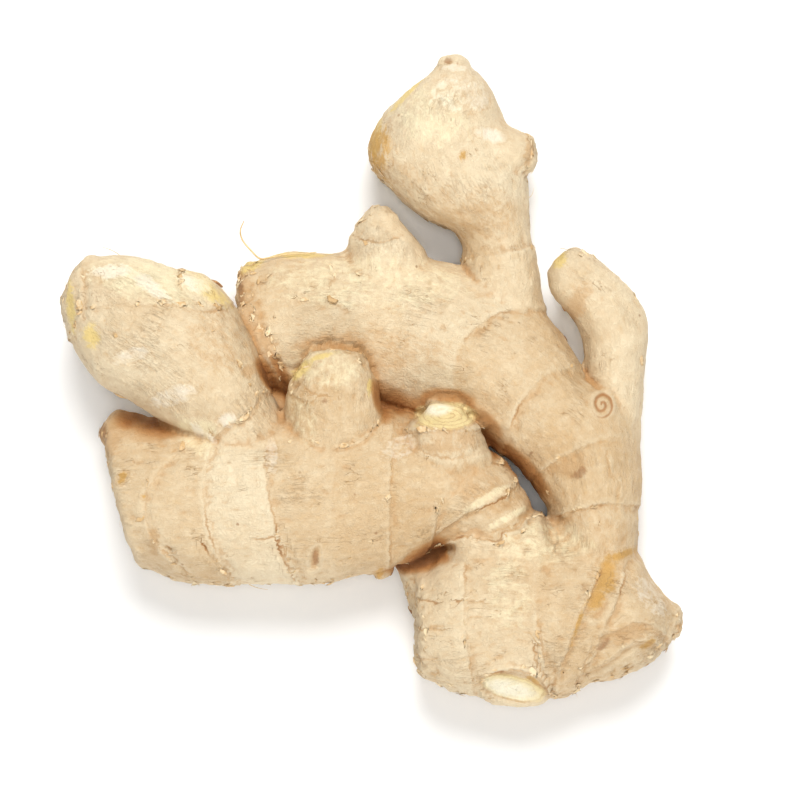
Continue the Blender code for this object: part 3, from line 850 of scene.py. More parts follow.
def sections_mesh(spine: Spine, points_round: int) -> bmesh.types.BMesh:
    """A closed loft over a lobe's sections.

    Args:
        spine: The lobe's spine.
        points_round: Number of points in a section.

    Returns:
        The loft, in millimetres, trimmed by the lobe's cut.
    """
    tail, first = spine.cap(0, spine.lobe.tail)
    head, last = spine.cap(-1, spine.lobe.head)
    rows = [*tail[::-1], *zip(spine.middle, spine.half, spine.depth), *head]
    sides = [*[spine.side[0]] * len(tail), *spine.side, *[spine.side[-1]] * len(head)]
    angles = np.arange(points_round) * 2 * math.pi / points_round
    shape = bmesh.new()
    loops = []
    for (middle, half, depth), side in zip(rows, sides):
        ring = middle + np.outer(np.cos(angles) * half, side) + np.outer(np.sin(angles) * depth, UP)
        loops.append([shape.verts.new(p) for p in ring])
    for one, two in zip(loops, loops[1:]):
        for k in range(points_round):
            n = (k + 1) % points_round
            shape.faces.new((one[k], one[n], two[n], two[k]))
    for pole, loop in ((first, loops[0]), (last, loops[-1])):
        tip = shape.verts.new(pole)
        for k in range(points_round):
            shape.faces.new((tip, loop[k], loop[(k + 1) % points_round]))
    if spine.lobe.cut:
        point, normal = (Vector(v) for v in spine.lobe.cut)
        everything = shape.verts[:] + shape.edges[:] + shape.faces[:]
        cut = bmesh.ops.bisect_plane(
            shape, geom=everything, plane_co=point, plane_no=normal, clear_outer=True
        )
        rim = [e for e in cut["geom_cut"] if isinstance(e, bmesh.types.BMEdge)]
        bmesh.ops.edgeloop_fill(shape, edges=rim)
    bmesh.ops.recalc_face_normals(shape, faces=shape.faces)
    return shape


class Surface:
    """The points, normals and edges of a mesh as arrays, in millimetres and without the frame's shift."""

    def __init__(self, mesh: bpy.types.Mesh) -> None:
        """Reads a mesh.

        Args:
            mesh: The mesh, in millimetres.
        """
        self.mesh = mesh
        count = len(mesh.vertices)
        self.points = np.empty(count * 3)
        mesh.vertices.foreach_get("co", self.points)
        self.points = self.points.reshape(-1, 3)
        self.edges = np.empty(len(mesh.edges) * 2, int)
        mesh.edges.foreach_get("vertices", self.edges)
        self.edges = self.edges.reshape(-1, 2)
        self.degree = np.maximum(np.bincount(self.edges.ravel(), minlength=count), 1)
        self.read_normals()

    def read_normals(self) -> None:
        """Takes the vertex normals from the mesh."""
        self.normals = np.empty(len(self.points) * 3)
        self.mesh.vertices.foreach_get("normal", self.normals)
        self.normals = self.normals.reshape(-1, 3)

    def raise_by(self, height: np.ndarray) -> None:
        """Moves each point along its normal."""
        self.move_to(self.points + self.normals * height[:, None])

    def move_to(self, points: np.ndarray) -> None:
        """Gives the points new places.

        Args:
            points: The places.
        """
        self.points = points
        self.mesh.vertices.foreach_set("co", self.points.ravel())
        self.mesh.update()
        self.read_normals()

    def mean_of_neighbours(self, values: np.ndarray) -> np.ndarray:
        """Averages a value over the neighbours of each point.

        Args:
            values: One value a point.

        Returns:
            The means.
        """
        one, two = self.edges.T
        count = len(values)
        total = np.bincount(one, values[two], count) + np.bincount(two, values[one], count)
        return total / self.degree

    def spread(self, values: np.ndarray, times: int) -> np.ndarray:
        """Smooths a value over the surface.

        Args:
            values: One value a point.
            times: Number of steps.

        Returns:
            The smoothed values.
        """
        for _ in range(times):
            values = 0.5 * values + 0.5 * self.mean_of_neighbours(values)
        return values

    def hollow(self, times: int) -> np.ndarray:
        """How deep each point lies under the smoothed surface; a crest is negative."""
        return ((self.smoothed(times) - self.points) * self.normals).sum(1)

    def smoothed(self, times: int) -> np.ndarray:
        """The points of the surface smoothed a number of times."""
        return np.column_stack([self.spread(self.points[:, k], times) for k in range(3)])

    def store(self, name: str, values: np.ndarray) -> None:
        """Keeps an attribute on the mesh.

        Args:
            name: Its name.
            values: One value or one vector a point.
        """
        kind, key = ("FLOAT", "value") if values.ndim == 1 else ("FLOAT_VECTOR", "vector")
        attribute = self.mesh.attributes.new(name, kind, "POINT")
        attribute.data.foreach_set(key, values.astype(np.float32).ravel())


def faded(points: np.ndarray) -> np.ndarray:
    """Works out how much of the ring scars shows.

    Args:
        points: Points in millimetres.

    Returns:
        One value a point, 1 where the scars are fresh.
    """
    shown = np.ones(len(points))
    for x, y, radius in FADED:
        far = np.hypot(points[:, 0] - x, points[:, 1] - y)
        shown = np.minimum(shown, smooth_step(0.5 * radius, radius, far))
    return shown


def oval(points: np.ndarray, shape: Patch | Mark | CreaseShade) -> np.ndarray:
    """Measures how far out points are from the middle of an oval seen from above.

    Args:
        points: Points in millimetres.
        shape: What has the oval's middle, half sizes and turn.

    Returns:
        One value a point, 1 on the edge of the oval.
    """
    c, s = math.cos(math.radians(shape.turn)), math.sin(math.radians(shape.turn))
    u = ((points[:, 0] - shape.x) * c + (points[:, 1] - shape.y) * s) / shape.length
    v = ((points[:, 1] - shape.y) * c - (points[:, 0] - shape.x) * s) / shape.width
    return np.hypot(u, v)


@dataclass
class Skin:
    """The whole root as one fine skin with its relief, and the attributes that its finish reads."""

    voxel: float = 0.69
    section_points: int = 72
    blend_steps: int = 8
    lobe_blend: float = 14.0
    melt_steps: int = 40
    crevice_depth: float = 1.2
    rough_size: float = 1.7
    rough_height: float = 0.12
    lump_size: float = 13.0
    lump_height: float = 0.8
    dimple_size: float = 4.2
    dimple_height: float = 0.28
    wrinkle_length: float = 4.0
    wrinkle_width: float = 1.4
    wrinkle_height: float = 0.16
    ring_width: float = 0.75
    ring_reach: float = 3.5
    ring_wave: float = 0.35
    ring_tear: float = 0.9
    lip_height: float = 0.22
    lip_hollow: float = 0.4
    lip_swell: float = 0.45
    faded_height: float = 0.3
    faded_line: float = 0.15
    line_reach: float = 2.6
    line_end: float = 3.4
    fold_reach: float = 1.4
    fold_end: float = 2.2
    fold_hollow: float = 0.7
    side_on: float = -0.1

    def __post_init__(self) -> None:
        """Makes the spines of all the lobes."""
        self.spines = [Spine(lobe) for lobe in LOBES]

    def fused(self) -> bpy.types.Mesh:
        """Fuses all the lobes, and blends the creases between them.

        Returns:
            One closed mesh, in millimetres.
        """
        shape = bmesh.new()
        for spine in self.spines:
            loft = sections_mesh(spine, self.section_points)
            mesh = bpy.data.meshes.new(spine.lobe.name)
            loft.to_mesh(mesh)
            loft.free()
            shape.from_mesh(mesh)
            bpy.data.meshes.remove(mesh)
        mesh = bpy.data.meshes.new("lobes")
        shape.to_mesh(mesh)
        shape.free()
        lobes = add_object("lobes", mesh)
        fuse = lobes.modifiers.new("Fuse", "REMESH")
        fuse.mode = "VOXEL"
        fuse.voxel_size = self.voxel
        blend = lobes.modifiers.new("Blend", "SMOOTH")
        blend.factor = 0.5
        blend.iterations = self.blend_steps
        fused = bpy.data.meshes.new_from_object(lobes.evaluated_get(bpy.context.evaluated_depsgraph_get()))
        bpy.data.objects.remove(lobes)
        return fused

    def melt(self, surface: Surface) -> None:
        """Smooths away the creases where one lobe runs into the next without a fold.

        Args:
            surface: The fused lobes.
        """
        weight = np.zeros(len(surface.points))
        for x, y, radius in MELTS:
            far = np.hypot(surface.points[:, 0] - x, surface.points[:, 1] - y)
            weight = np.maximum(weight, smooth_step(radius, 0.5 * radius, far))
        weight *= smooth_step(-0.2, 0.1, surface.normals[:, 2])
        smoothed = surface.smoothed(self.melt_steps)
        surface.move_to(surface.points + (smoothed - surface.points) * weight[:, None])

    def ring_height(
        self, surface: Surface, places: list[Places], share: np.ndarray, local: np.ndarray
    ) -> np.ndarray:
        """Raises the ring scars: a ragged lip, a hollow past it, and skin that swells towards the lip.

        Args:
            surface: The fused lobes.
            places: Where its points lie on each lobe.
            share: How much each lobe counts at each point.
            local: The points in the axes of their own lobe.

        Returns:
            The height at each point.
        """
        ragged = noise_field(surface.points, 2.2, 3, 3.1)
        torn = noise_field(local * (0.45, 1.0, 1.0), 1.9, 2, 1.6)
        patchy = 0.55 + 1.1 * noise_field(surface.points, 6.0, 2, 8.4)
        total = np.zeros(len(surface.points))
        for spine, place, part in zip(self.spines, places, share):
            for past, (_, _, _, ridge) in zip(spine.past_rings(place), spine.rings):
                past = past + self.ring_wave * ragged + self.ring_tear * torn
                shown = np.clip(patchy + 0.9 * torn, 0.0, 1.7)
                lip = self.lip_height * np.exp(-((past / self.ring_width) ** 2)) * shown
                beyond = (past - 1.8 * self.ring_width) / (1.7 * self.ring_width)
                under = self.lip_hollow * np.exp(-(beyond**2))
                rise = self.lip_swell * np.exp(np.minimum(past, 0.0) / self.ring_reach)
                total += part * ridge * (lip - under + rise * smooth_step(0.9, -0.3, past))
        return total * (self.faded_height + (1 - self.faded_height) * faded(surface.points))

    def fold_distances(self, surface: Surface) -> np.ndarray:
        """Measures how far each point is from each fold seen from above.

        Args:
            surface: The surface, raised or not.

        Returns:
            One row a fold, positive on the right of its line.
        """
        margin = 6.0
        upper = surface.normals[:, 2] > self.side_on
        rows = []
        for fold in FOLDS:
            path = smooth_path(np.array(fold.points), 0.4)
            ahead = np.gradient(path, axis=0)
            middle, far = path.mean(0), np.full(len(surface.points), FAR)
            reach = np.linalg.norm(path - middle, axis=1).max() + margin
            close = np.nonzero((np.linalg.norm(surface.points[:, :2] - middle, axis=1) < reach) & upper)[0]
            offset = surface.points[close, None, :2] - path[None]
            distance = np.linalg.norm(offset, axis=2)
            nearest = distance.argmin(1)
            every = np.arange(len(close))
            across = offset[every, nearest]
            side = across[:, 0] * ahead[nearest, 1] - across[:, 1] * ahead[nearest, 0]
            far[close] = distance[every, nearest] * np.where(side > 0, 1.0, -1.0)
            rows.append(far)
        return np.array(rows)

    def fold_height(self, surface: Surface) -> np.ndarray:
        """Raises the folds: a ragged lip and a hollow on the right of it, or a crack.

        Args:
            surface: The fused lobes.

        Returns:
            The height at each point.
        """
        ragged = noise_field(surface.points, 1.8, 2, 6.6)
        shown = np.clip(0.8 + 0.8 * ragged, 0.2, 1.8)
        total = np.zeros(len(surface.points))
        for fold, far in zip(FOLDS, self.fold_distances(surface)):
            far = far + self.ring_wave * ragged
            lip = fold.height * np.exp(-((far / fold.width) ** 2)) * shown
            past = (far - 1.9 * fold.width) / (1.2 * fold.width)
            total += lip - self.fold_hollow * max(fold.height, 0.0) * np.exp(-(past**2))
        return total

    def ragged_height(self, surface: Surface) -> np.ndarray:
        """Works out how much rougher the skin is close to the ragged edges.

        Args:
            surface: The fused lobes.

        Returns:
            The added roughness at each point.
        """
        total = np.zeros(len(surface.points))
        for edge in EDGES:
            path = smooth_path(np.array(edge.points), 1.0)
            offset = surface.points[:, None, :2] - path[None]
            far = np.hypot(offset[:, :, 0], offset[:, :, 1]).min(1)
            near = smooth_step(1.6 * edge.width, 0.4 * edge.width, far)
            if edge.lobe:
                near *= self.lobe_names == edge.lobe
            total = np.maximum(total, edge.height * near)
        return total

    def mark_height(self, surface: Surface) -> np.ndarray:
        """Raises the buds, dents and cut rims on the upper side.

        Args:
            surface: The fused lobes.

        Returns:
            The height at each point.
        """
        total = np.zeros(len(surface.points))
        for mark in MARKS:
            far = oval(surface.points, mark)
            shape = mark.rim * np.exp(-(((far - 1) / 0.25) ** 2)) + mark.middle * np.exp(-((far / 0.6) ** 2))
            total += np.where(surface.normals[:, 2] > 0.0, shape, 0.0)
        return total

    def build(self) -> bpy.types.Object:
        """Builds the skin.

        Returns:
            The finished piece, in metres in the row frame, with its attributes.
        """
        surface = Surface(self.fused())
        self.melt(surface)
        places = [spine.place(surface.points) for spine in self.spines]
        share = np.array([np.exp(-self.lobe_blend * (place.out - 1)) for place in places])
        share /= share.sum(0)
        best = share.argmax(0)
        every = np.arange(len(best))
        local = np.array([place.local for place in places])[best, every]
        self.heading = np.array([place.heading for place in places])[best, every]

        height = self.ring_height(surface, places, share, local)
        height += self.mark_height(surface) + self.fold_height(surface)
        height -= self.crevice_depth * smooth_step(0.35, 1.3, surface.hollow(60))
        height += self.lump_height * noise_field(surface.points, self.lump_size)
        height += self.dimple_height * noise_field(surface.points, self.dimple_size, 2, 5.3)
        rough = noise_field(surface.points, self.rough_size, 2, 2.2)
        self.lobe_names = np.array([spine.lobe.name for spine in self.spines])[best]
        height += rough * (self.rough_height + self.ragged_height(surface))
        streaks = local / (self.wrinkle_length, self.wrinkle_width, self.wrinkle_width)
        height += self.wrinkle_height * noise_field(streaks, 1.0, 2, 9.7)
        surface.raise_by(height)
        self.store_fields(surface, places, share, best, local)
        return self.finished(surface)

    def store_fields(
        self, surface: Surface, places: list[Places], share: np.ndarray, best: np.ndarray, local: np.ndarray
    ) -> None:
        """Keeps on the mesh what the finish reads.

        Args:
            surface: The raised surface.
            places: Where its points lie on each lobe.
            share: How much each lobe counts at each point.
            best: The lobe that each point belongs to.
            local: The points in the axes of their own lobe.
        """
        count = len(surface.points)
        nearest = np.full(count, FAR)
        strength = np.zeros(count)
        tone = np.zeros(count)
        for index, (spine, place) in enumerate(zip(self.spines, places)):
            mine = best == index
            past = spine.past_rings(place)
            tones = BAND_TONES[spine.lobe.name]
            level = np.full(count, tones[0])
            for row, (_, _, _, ridge), change in zip(past, spine.rings, np.diff(tones)):
                level = level + change * smooth_step(-0.4, 0.4, row)
                closer = mine & (np.abs(row) < np.abs(nearest))
                nearest[closer] = row[closer]
                worn = self.faded_line
                strength[closer] = worn + (1 - worn) * ridge if ridge > Spine.WORN else worn
            tone += share[index] * level
        inner = smooth_step(0.55, 0.85, surface.spread(share.max(0), 3))
        near = smooth_step(self.line_end, self.line_reach, np.abs(nearest))
        near = near * inner * np.clip(strength, 0.0, 1.2)
        near *= self.faded_line + (1 - self.faded_line) * faded(surface.points)
        for fold, far in zip(FOLDS, self.fold_distances(surface)):
            away = np.abs(far)
            weight = smooth_step(self.fold_end, self.fold_reach, away) * min(1.0, 2 * abs(fold.height))
            closer = away < np.minimum(np.abs(nearest), self.fold_end)
            kept = near * smooth_step(self.fold_reach, self.fold_end, away)
            nearest = np.where(closer, far, nearest)
            near = np.where(closer, np.maximum(weight, kept), near)
        surface.store("inner", inner)
        self.gap = nearest
        self.near = near
        surface.store("ring_gap", np.clip(nearest, -4.0, 4.0))
        surface.store("ring_near", near)
        rims = np.zeros(count)
        for mark in MARKS:
            far = oval(surface.points, mark)
            outer = np.exp(-(((far - 1.25) / 0.14) ** 2))
            inner_line = np.exp(-(((far - 0.62) / 0.16) ** 2))
            rims = np.maximum(rims, mark.drawn * np.maximum(outer, inner_line * (mark.middle > 0)))
        surface.store("rims", rims * (surface.normals[:, 2] > 0.0))
        surface.store("tone", surface.spread(tone, 3))
        surface.store("grain", local + np.outer(best, (0.0, 0.0, 60.0)))
        for kind in HOLLOWS:
            surface.store(kind.name, np.clip(surface.hollow(kind.steps) / kind.depth, kind.lowest, 1.0))
        surface.store("gloom", surface.spread(self.gloom(surface, places, share), 2))
        upper = smooth_step(-0.25, 0.05, surface.normals[:, 2])
        for stain in Stain:
            field = np.full(count, -1.0)
            for patch in (p for p in PATCHES if p.stain is stain):
                inside = 1 - oval(surface.points, patch)
                field = np.maximum(field, np.minimum(inside, patch.strength))
            surface.store(stain.value, np.clip(field, -1.0, 1.0) * upper - (1 - upper))

    def gloom(self, surface: Surface, places: list[Places], share: np.ndarray) -> np.ndarray:
        """How much shade is painted on the skin deep between two lobes, on the lower one of them.

        Args:
            surface: The raised surface.
            places: Where its points lie on each lobe.
            share: How much each lobe counts at each point.

        Returns:
            A value from 0 to 1 a point.
        """
        out = np.sort(np.array([place.out for place in places]), axis=0)
        close = smooth_step(1.55, 1.02, out[1])
        proud = sum(part for spine, part in zip(self.spines, share) if spine.lobe.name in PROUD)
        low = close * smooth_step(0.75, 0.35, proud)
        shown = np.zeros(len(close))
        for dark in CREASE_SHADES:
            out = oval(surface.points, dark)
            inside = dark.strength * smooth_step(1.15, 0.45, out)
            shown = np.maximum(shown, inside if dark.is_open else inside * low)
        return shown * smooth_step(-0.5, 0.0, surface.normals[:, 2])

    def finished(self, surface: Surface) -> bpy.types.Object:
        """Trims the root at the table and moves it to its place in the row frame.

        Args:
            surface: The surface with its attributes.

        Returns:
            The piece.
        """
        points = surface.points.copy()
        points[:, 2] = np.maximum(points[:, 2], 0.0)
        points[:, :2] += FRAME_SHIFT
        self.points, self.normals = points, surface.normals
        surface.mesh.vertices.foreach_set("co", (points * MM).ravel())
        surface.mesh.update()
        return add_object("root_skin", surface.mesh)

    def spots(self, chosen: np.ndarray, rng: np.random.Generator, lift: float, across: bool) -> Spots:
        """Spots at some of the skin's points.

        Args:
            chosen: Numbers of the points.
            rng: Source of the sizes.
            lift: Height of the spots over the skin.
            across: Whether a scrap runs round the lobe and not along it.

        Returns:
            The spots.
        """
        normals = self.normals[chosen]
        runs = self.heading[chosen]
        if across:
            runs = np.cross(normals, runs)
        sizes = rng.lognormal(0.0, 0.35, len(chosen)).clip(0.4, 2.0)
        return Spots(self.points[chosen] + lift * normals, normals, runs, sizes)

    def ring_spots(self, count: int, rng: np.random.Generator) -> Spots:
        """Spots along the ragged lips of the rings.

        Args:
            count: How many.
            rng: Source of the choice.

        Returns:
            The spots.
        """
        ragged = noise_field(self.points, 9.0, 1, 4.4) > -0.05
        on_lip = (np.abs(self.gap + 0.1) < 0.35) & (self.near > 0.4)
        found = np.nonzero(on_lip & ragged & (self.points[:, 2] > 2.0))[0]
        chosen = rng.choice(found, min(count, len(found)), replace=False)
        return self.spots(chosen, rng, lift=0.06, across=True)

    def fold_spots(self, fold: Fold, rng: np.random.Generator) -> Spots:
        """Spots close to a fold or an edge.

        Args:
            fold: The line they keep to.
            rng: Source of the choice.

        Returns:
            The spots, which run along the line.
        """
        path = smooth_path(np.array(fold.points), 0.5) + FRAME_SHIFT
        offset = self.points[:, None, :2] - path[None, ::2]
        far = np.hypot(offset[:, :, 0], offset[:, :, 1]).min(1)
        mine = (self.lobe_names == fold.lobe) if fold.lobe else np.ones(len(far), bool)
        upper = (self.normals[:, 2] > 0.0) & (self.points[:, 2] > 6.0)
        found = np.nonzero(mine & upper & (far < fold.width))[0]
        chosen = rng.choice(found, min(fold.flakes, len(found)), replace=False)
        made = self.spots(chosen, rng, lift=0.04, across=True)
        ahead = np.gradient(path, axis=0)
        near = ((made.points[:, None, :2] - path[None]) ** 2).sum(2).argmin(1)
        runs = np.column_stack([ahead[near], np.zeros(len(near))])
        return Spots(made.points, made.normals, runs, made.sizes)

    def scattered(self, count: int, rng: np.random.Generator, lift: float, upper: float) -> Spots:
        """Spots anywhere on the skin, which run along the lobes.

        Args:
            count: How many.
            rng: Source of the choice.
            lift: Height of the spots over the skin.
            upper: How often a spot on the upper side is chosen, set against one on the underside.

        Returns:
            The spots.
        """
        weight = np.where(self.normals[:, 2] < 0.0, 1.0, upper) * (self.points[:, 2] > 0.8)
        chosen = rng.choice(len(weight), count, False, weight / weight.sum())
        return self.spots(chosen, rng, lift, across=False)


class Value:
    """A shader socket with one number, so that shader maths reads as an expression."""

    def __init__(self, nodes: Finish, socket: bpy.types.NodeSocket) -> None:
        """Wraps a socket of a tree."""
        self.nodes = nodes
        self.socket = socket

    def math(self, operation: str, *others: Value | float) -> Value:
        """A Math node of this value and the others."""
        return self.nodes.math(operation, self, *others)

    def __add__(self, other: Value | float) -> Value:
        """Sum."""
        return self.nodes.math("ADD", self, other)

    def __radd__(self, other: float) -> Value:
        """Sum with a number first."""
        return self.nodes.math("ADD", other, self)

    def __sub__(self, other: Value | float) -> Value:
        """Difference."""
        return self.nodes.math("SUBTRACT", self, other)

    def __rsub__(self, other: float) -> Value:
        """Difference with a number first."""
        return self.nodes.math("SUBTRACT", other, self)

    def __mul__(self, other: Value | float) -> Value:
        """Product."""
        return self.nodes.math("MULTIPLY", self, other)

    def __rmul__(self, other: float) -> Value:
        """Product with a number first."""
        return self.nodes.math("MULTIPLY", other, self)

    def __truediv__(self, other: Value | float) -> Value:
        """Quotient."""
        return self.nodes.math("DIVIDE", self, other)

    def __abs__(self) -> Value:
        """Size without its sign."""
        return self.nodes.math("ABSOLUTE", self)

    def ramp(self, low: float, high: float) -> Value:
        """Makes the value run from 0 at low to 1 at high, with soft ends.

        Args:
            low: Where it is 0.
            high: Where it is 1, which may be the smaller of the two.

        Returns:
            The result.
        """
        settings = {"interpolation_type": "SMOOTHSTEP"}
        links = {"Value": self, "From Min": low, "From Max": high}
        if low > high:
            links = {"Value": self, "From Min": high, "From Max": low, "To Min": 1.0, "To Max": 0.0}
        return self.nodes.value("ShaderNodeMapRange", settings, links, "Result")


def linear(colour: Colour) -> tuple[float, float, float, float]:
    """The scene-linear colour of an sRGB colour given from 0 to 255."""
    parts = [c / 255 for c in colour]
    return (*[p / 12.92 if p <= 0.04045 else ((p + 0.055) / 1.055) ** 2.4 for p in parts], 1.0)


class Tree:
    """A node tree that is built in code."""

    def __init__(self, tree: bpy.types.NodeTree) -> None:
        """Wraps a tree."""
        self.tree = tree

    def node(self, kind: str, settings: dict, sockets: dict) -> bpy.types.Node:
        """Adds a node.

        Args:
            kind: Its type.
            settings: Its properties, which are set first.
            sockets: Values or links by the name or number of the input.

        Returns:
            The node.
        """
        node = self.tree.nodes.new(kind)
        for key, setting in settings.items():
            setattr(node, key, setting)
        for key, given in sockets.items():
            socket = node.inputs[key]
            if isinstance(given, Value):
                given = given.socket
            if isinstance(given, bpy.types.NodeSocket):
                self.tree.links.new(given, socket)
            else:
                socket.default_value = given
        return node

    def out(self, kind: str, settings: dict, sockets: dict, output: str | int = 0) -> bpy.types.NodeSocket:
        """Adds a node and gives one of its outputs."""
        return self.node(kind, settings, sockets).outputs[output]


class Finish(Tree):
    """The node tree of one material."""

    def __init__(self, name: str) -> None:
        """Starts a material with an empty tree.

        Args:
            name: Its name.
        """
        self.material = bpy.data.materials.new(name)
        self.material.use_nodes = True
        super().__init__(self.material.node_tree)
        self.tree.nodes.clear()

    def value(self, kind: str, settings: dict, sockets: dict, output: str | int = 0) -> Value:
        """Adds a node and gives one of its outputs as a value."""
        return Value(self, self.out(kind, settings, sockets, output))

    def math(self, operation: str, *parts: Value | float) -> Value:
        """Adds a Math node."""
        return self.value("ShaderNodeMath", {"operation": operation}, dict(enumerate(parts)))

    def field(self, name: str) -> Value:
        """A number kept on the mesh."""
        return self.value("ShaderNodeAttribute", {"attribute_name": name}, {}, "Fac")

    def vector(self, name: str) -> bpy.types.NodeSocket:
        """A vector kept on the mesh."""
        return self.out("ShaderNodeAttribute", {"attribute_name": name}, {}, "Vector")

    def place(self) -> bpy.types.NodeSocket:
        """The place on the piece, in metres."""
        return self.out("ShaderNodeTexCoord", {}, {}, "Object")

    def stretched(self, vector: bpy.types.NodeSocket, scale: Triple) -> bpy.types.NodeSocket:
        """A vector scaled along its axes."""
        return self.out("ShaderNodeVectorMath", {"operation": "MULTIPLY"}, {0: vector, 1: scale})

    def noise(
        self,
        vector: bpy.types.NodeSocket,
        scale: float,
        detail: float = 2.0,
        rough: float = 0.5,
        warp: float = 0.0,
    ) -> Value:
        """Adds noise around a half.

        Args:
            vector: Where it is read.
            scale: Number of swellings to the vector's unit.
            detail: Number of finer layers.
            rough: How strong the finer layers are.
            warp: How much the swellings are bent.

        Returns:
            The noise.
        """
        sockets = {"Vector": vector, "Scale": scale, "Detail": detail, "Roughness": rough, "Distortion": warp}
        return self.value("ShaderNodeTexNoise", {"noise_dimensions": "3D"}, sockets)

    def specks(self, vector: bpy.types.NodeSocket, scale: float) -> Value:
        """Distance from the nearest of many scattered points, in cells."""
        sockets = {"Vector": vector, "Scale": scale}
        return self.value("ShaderNodeTexVoronoi", {"feature": "F1"}, sockets, "Distance")

    def blend(
        self, factor: Value, one: bpy.types.NodeSocket | Colour, two: bpy.types.NodeSocket | Colour
    ) -> bpy.types.NodeSocket:
        """Mixes two colours.

        Args:
            factor: How much of the second shows.
            one: The first colour, as a socket or as sRGB from 0 to 255.
            two: The second colour.

        Returns:
            The mixed colour's socket.
        """
        settings = {"data_type": "RGBA", "clamp_factor": True}
        pair = [linear(c) if isinstance(c, tuple) else c for c in (one, two)]
        return self.out("ShaderNodeMix", settings, {0: factor, 6: pair[0], 7: pair[1]}, 2)

    def bumped(self, height: Value, depth: float, strength: float) -> bpy.types.NodeSocket:
        """Normals of a height from 0 to 1 that stands for a depth in metres."""
        return self.out("ShaderNodeBump", {}, {"Height": height, "Distance": depth, "Strength": strength})

    def finish(self, sockets: dict) -> bpy.types.Material:
        """Ends the tree in one principled shader.

        Args:
            sockets: Values or links by the name of the shader's input.

        Returns:
            The material.
        """
        shader = self.out("ShaderNodeBsdfPrincipled", {}, sockets)
        self.node("ShaderNodeOutputMaterial", {}, {"Surface": shader})
        return self.material


class Coat:
    """The skin's colour and relief while its layers go on, and the noises that more than one layer reads."""

    def __init__(self, n: Finish, colour: Colour) -> None:
        """Adds the shared noises and fields.

        Args:
            n: The tree.
            colour: The colour under every layer.
        """
        self.n = n
        self.colour = colour
        self.place = n.place()
        self.grain = n.vector("grain")
        self.inner = n.field("inner")
        self.mottle = n.noise(self.place, 300.0, 4.0, 0.62, 0.8) - 0.5
        self.fine = n.noise(self.place, 520.0, 5.0, 0.7, 0.4) - 0.5
        self.grit = n.noise(self.place, 1500.0, 3.0, 0.65) - 0.5
        self.creases = self.streaks((0.36, 0.9, 0.9), 0.6, 0.9)
        self.patchy = n.noise(self.place, 130.0, 3.0).ramp(0.36, 0.62)
        self.faint = n.noise(self.place, 60.0, 2.0).ramp(0.34, 0.6)
        self.height = 0.5 + 0.7 * self.creases + 0.5 * self.grit + 0.2 * self.mottle

    def streaks(self, scale: Triple, rough: float, warp: float = 0.0) -> Value:
        """Adds noise that is drawn out along the lobes, and fades where two of them meet.

        Args:
            scale: Number of swellings to a millimetre, along the lobe, across it and through it.
            rough: How strong the finer layers are.
            warp: How much the swellings are bent.

        Returns:
            The noise, around 0.
        """
        return self.inner * (self.n.noise(self.n.stretched(self.grain, scale), 1.0, 4.0, rough, warp) - 0.5)

    def paint(self, factor: Value, colour: bpy.types.NodeSocket | Colour) -> None:
        """Lays a colour over the colour so far."""
        self.colour = self.n.blend(factor, self.colour, colour)


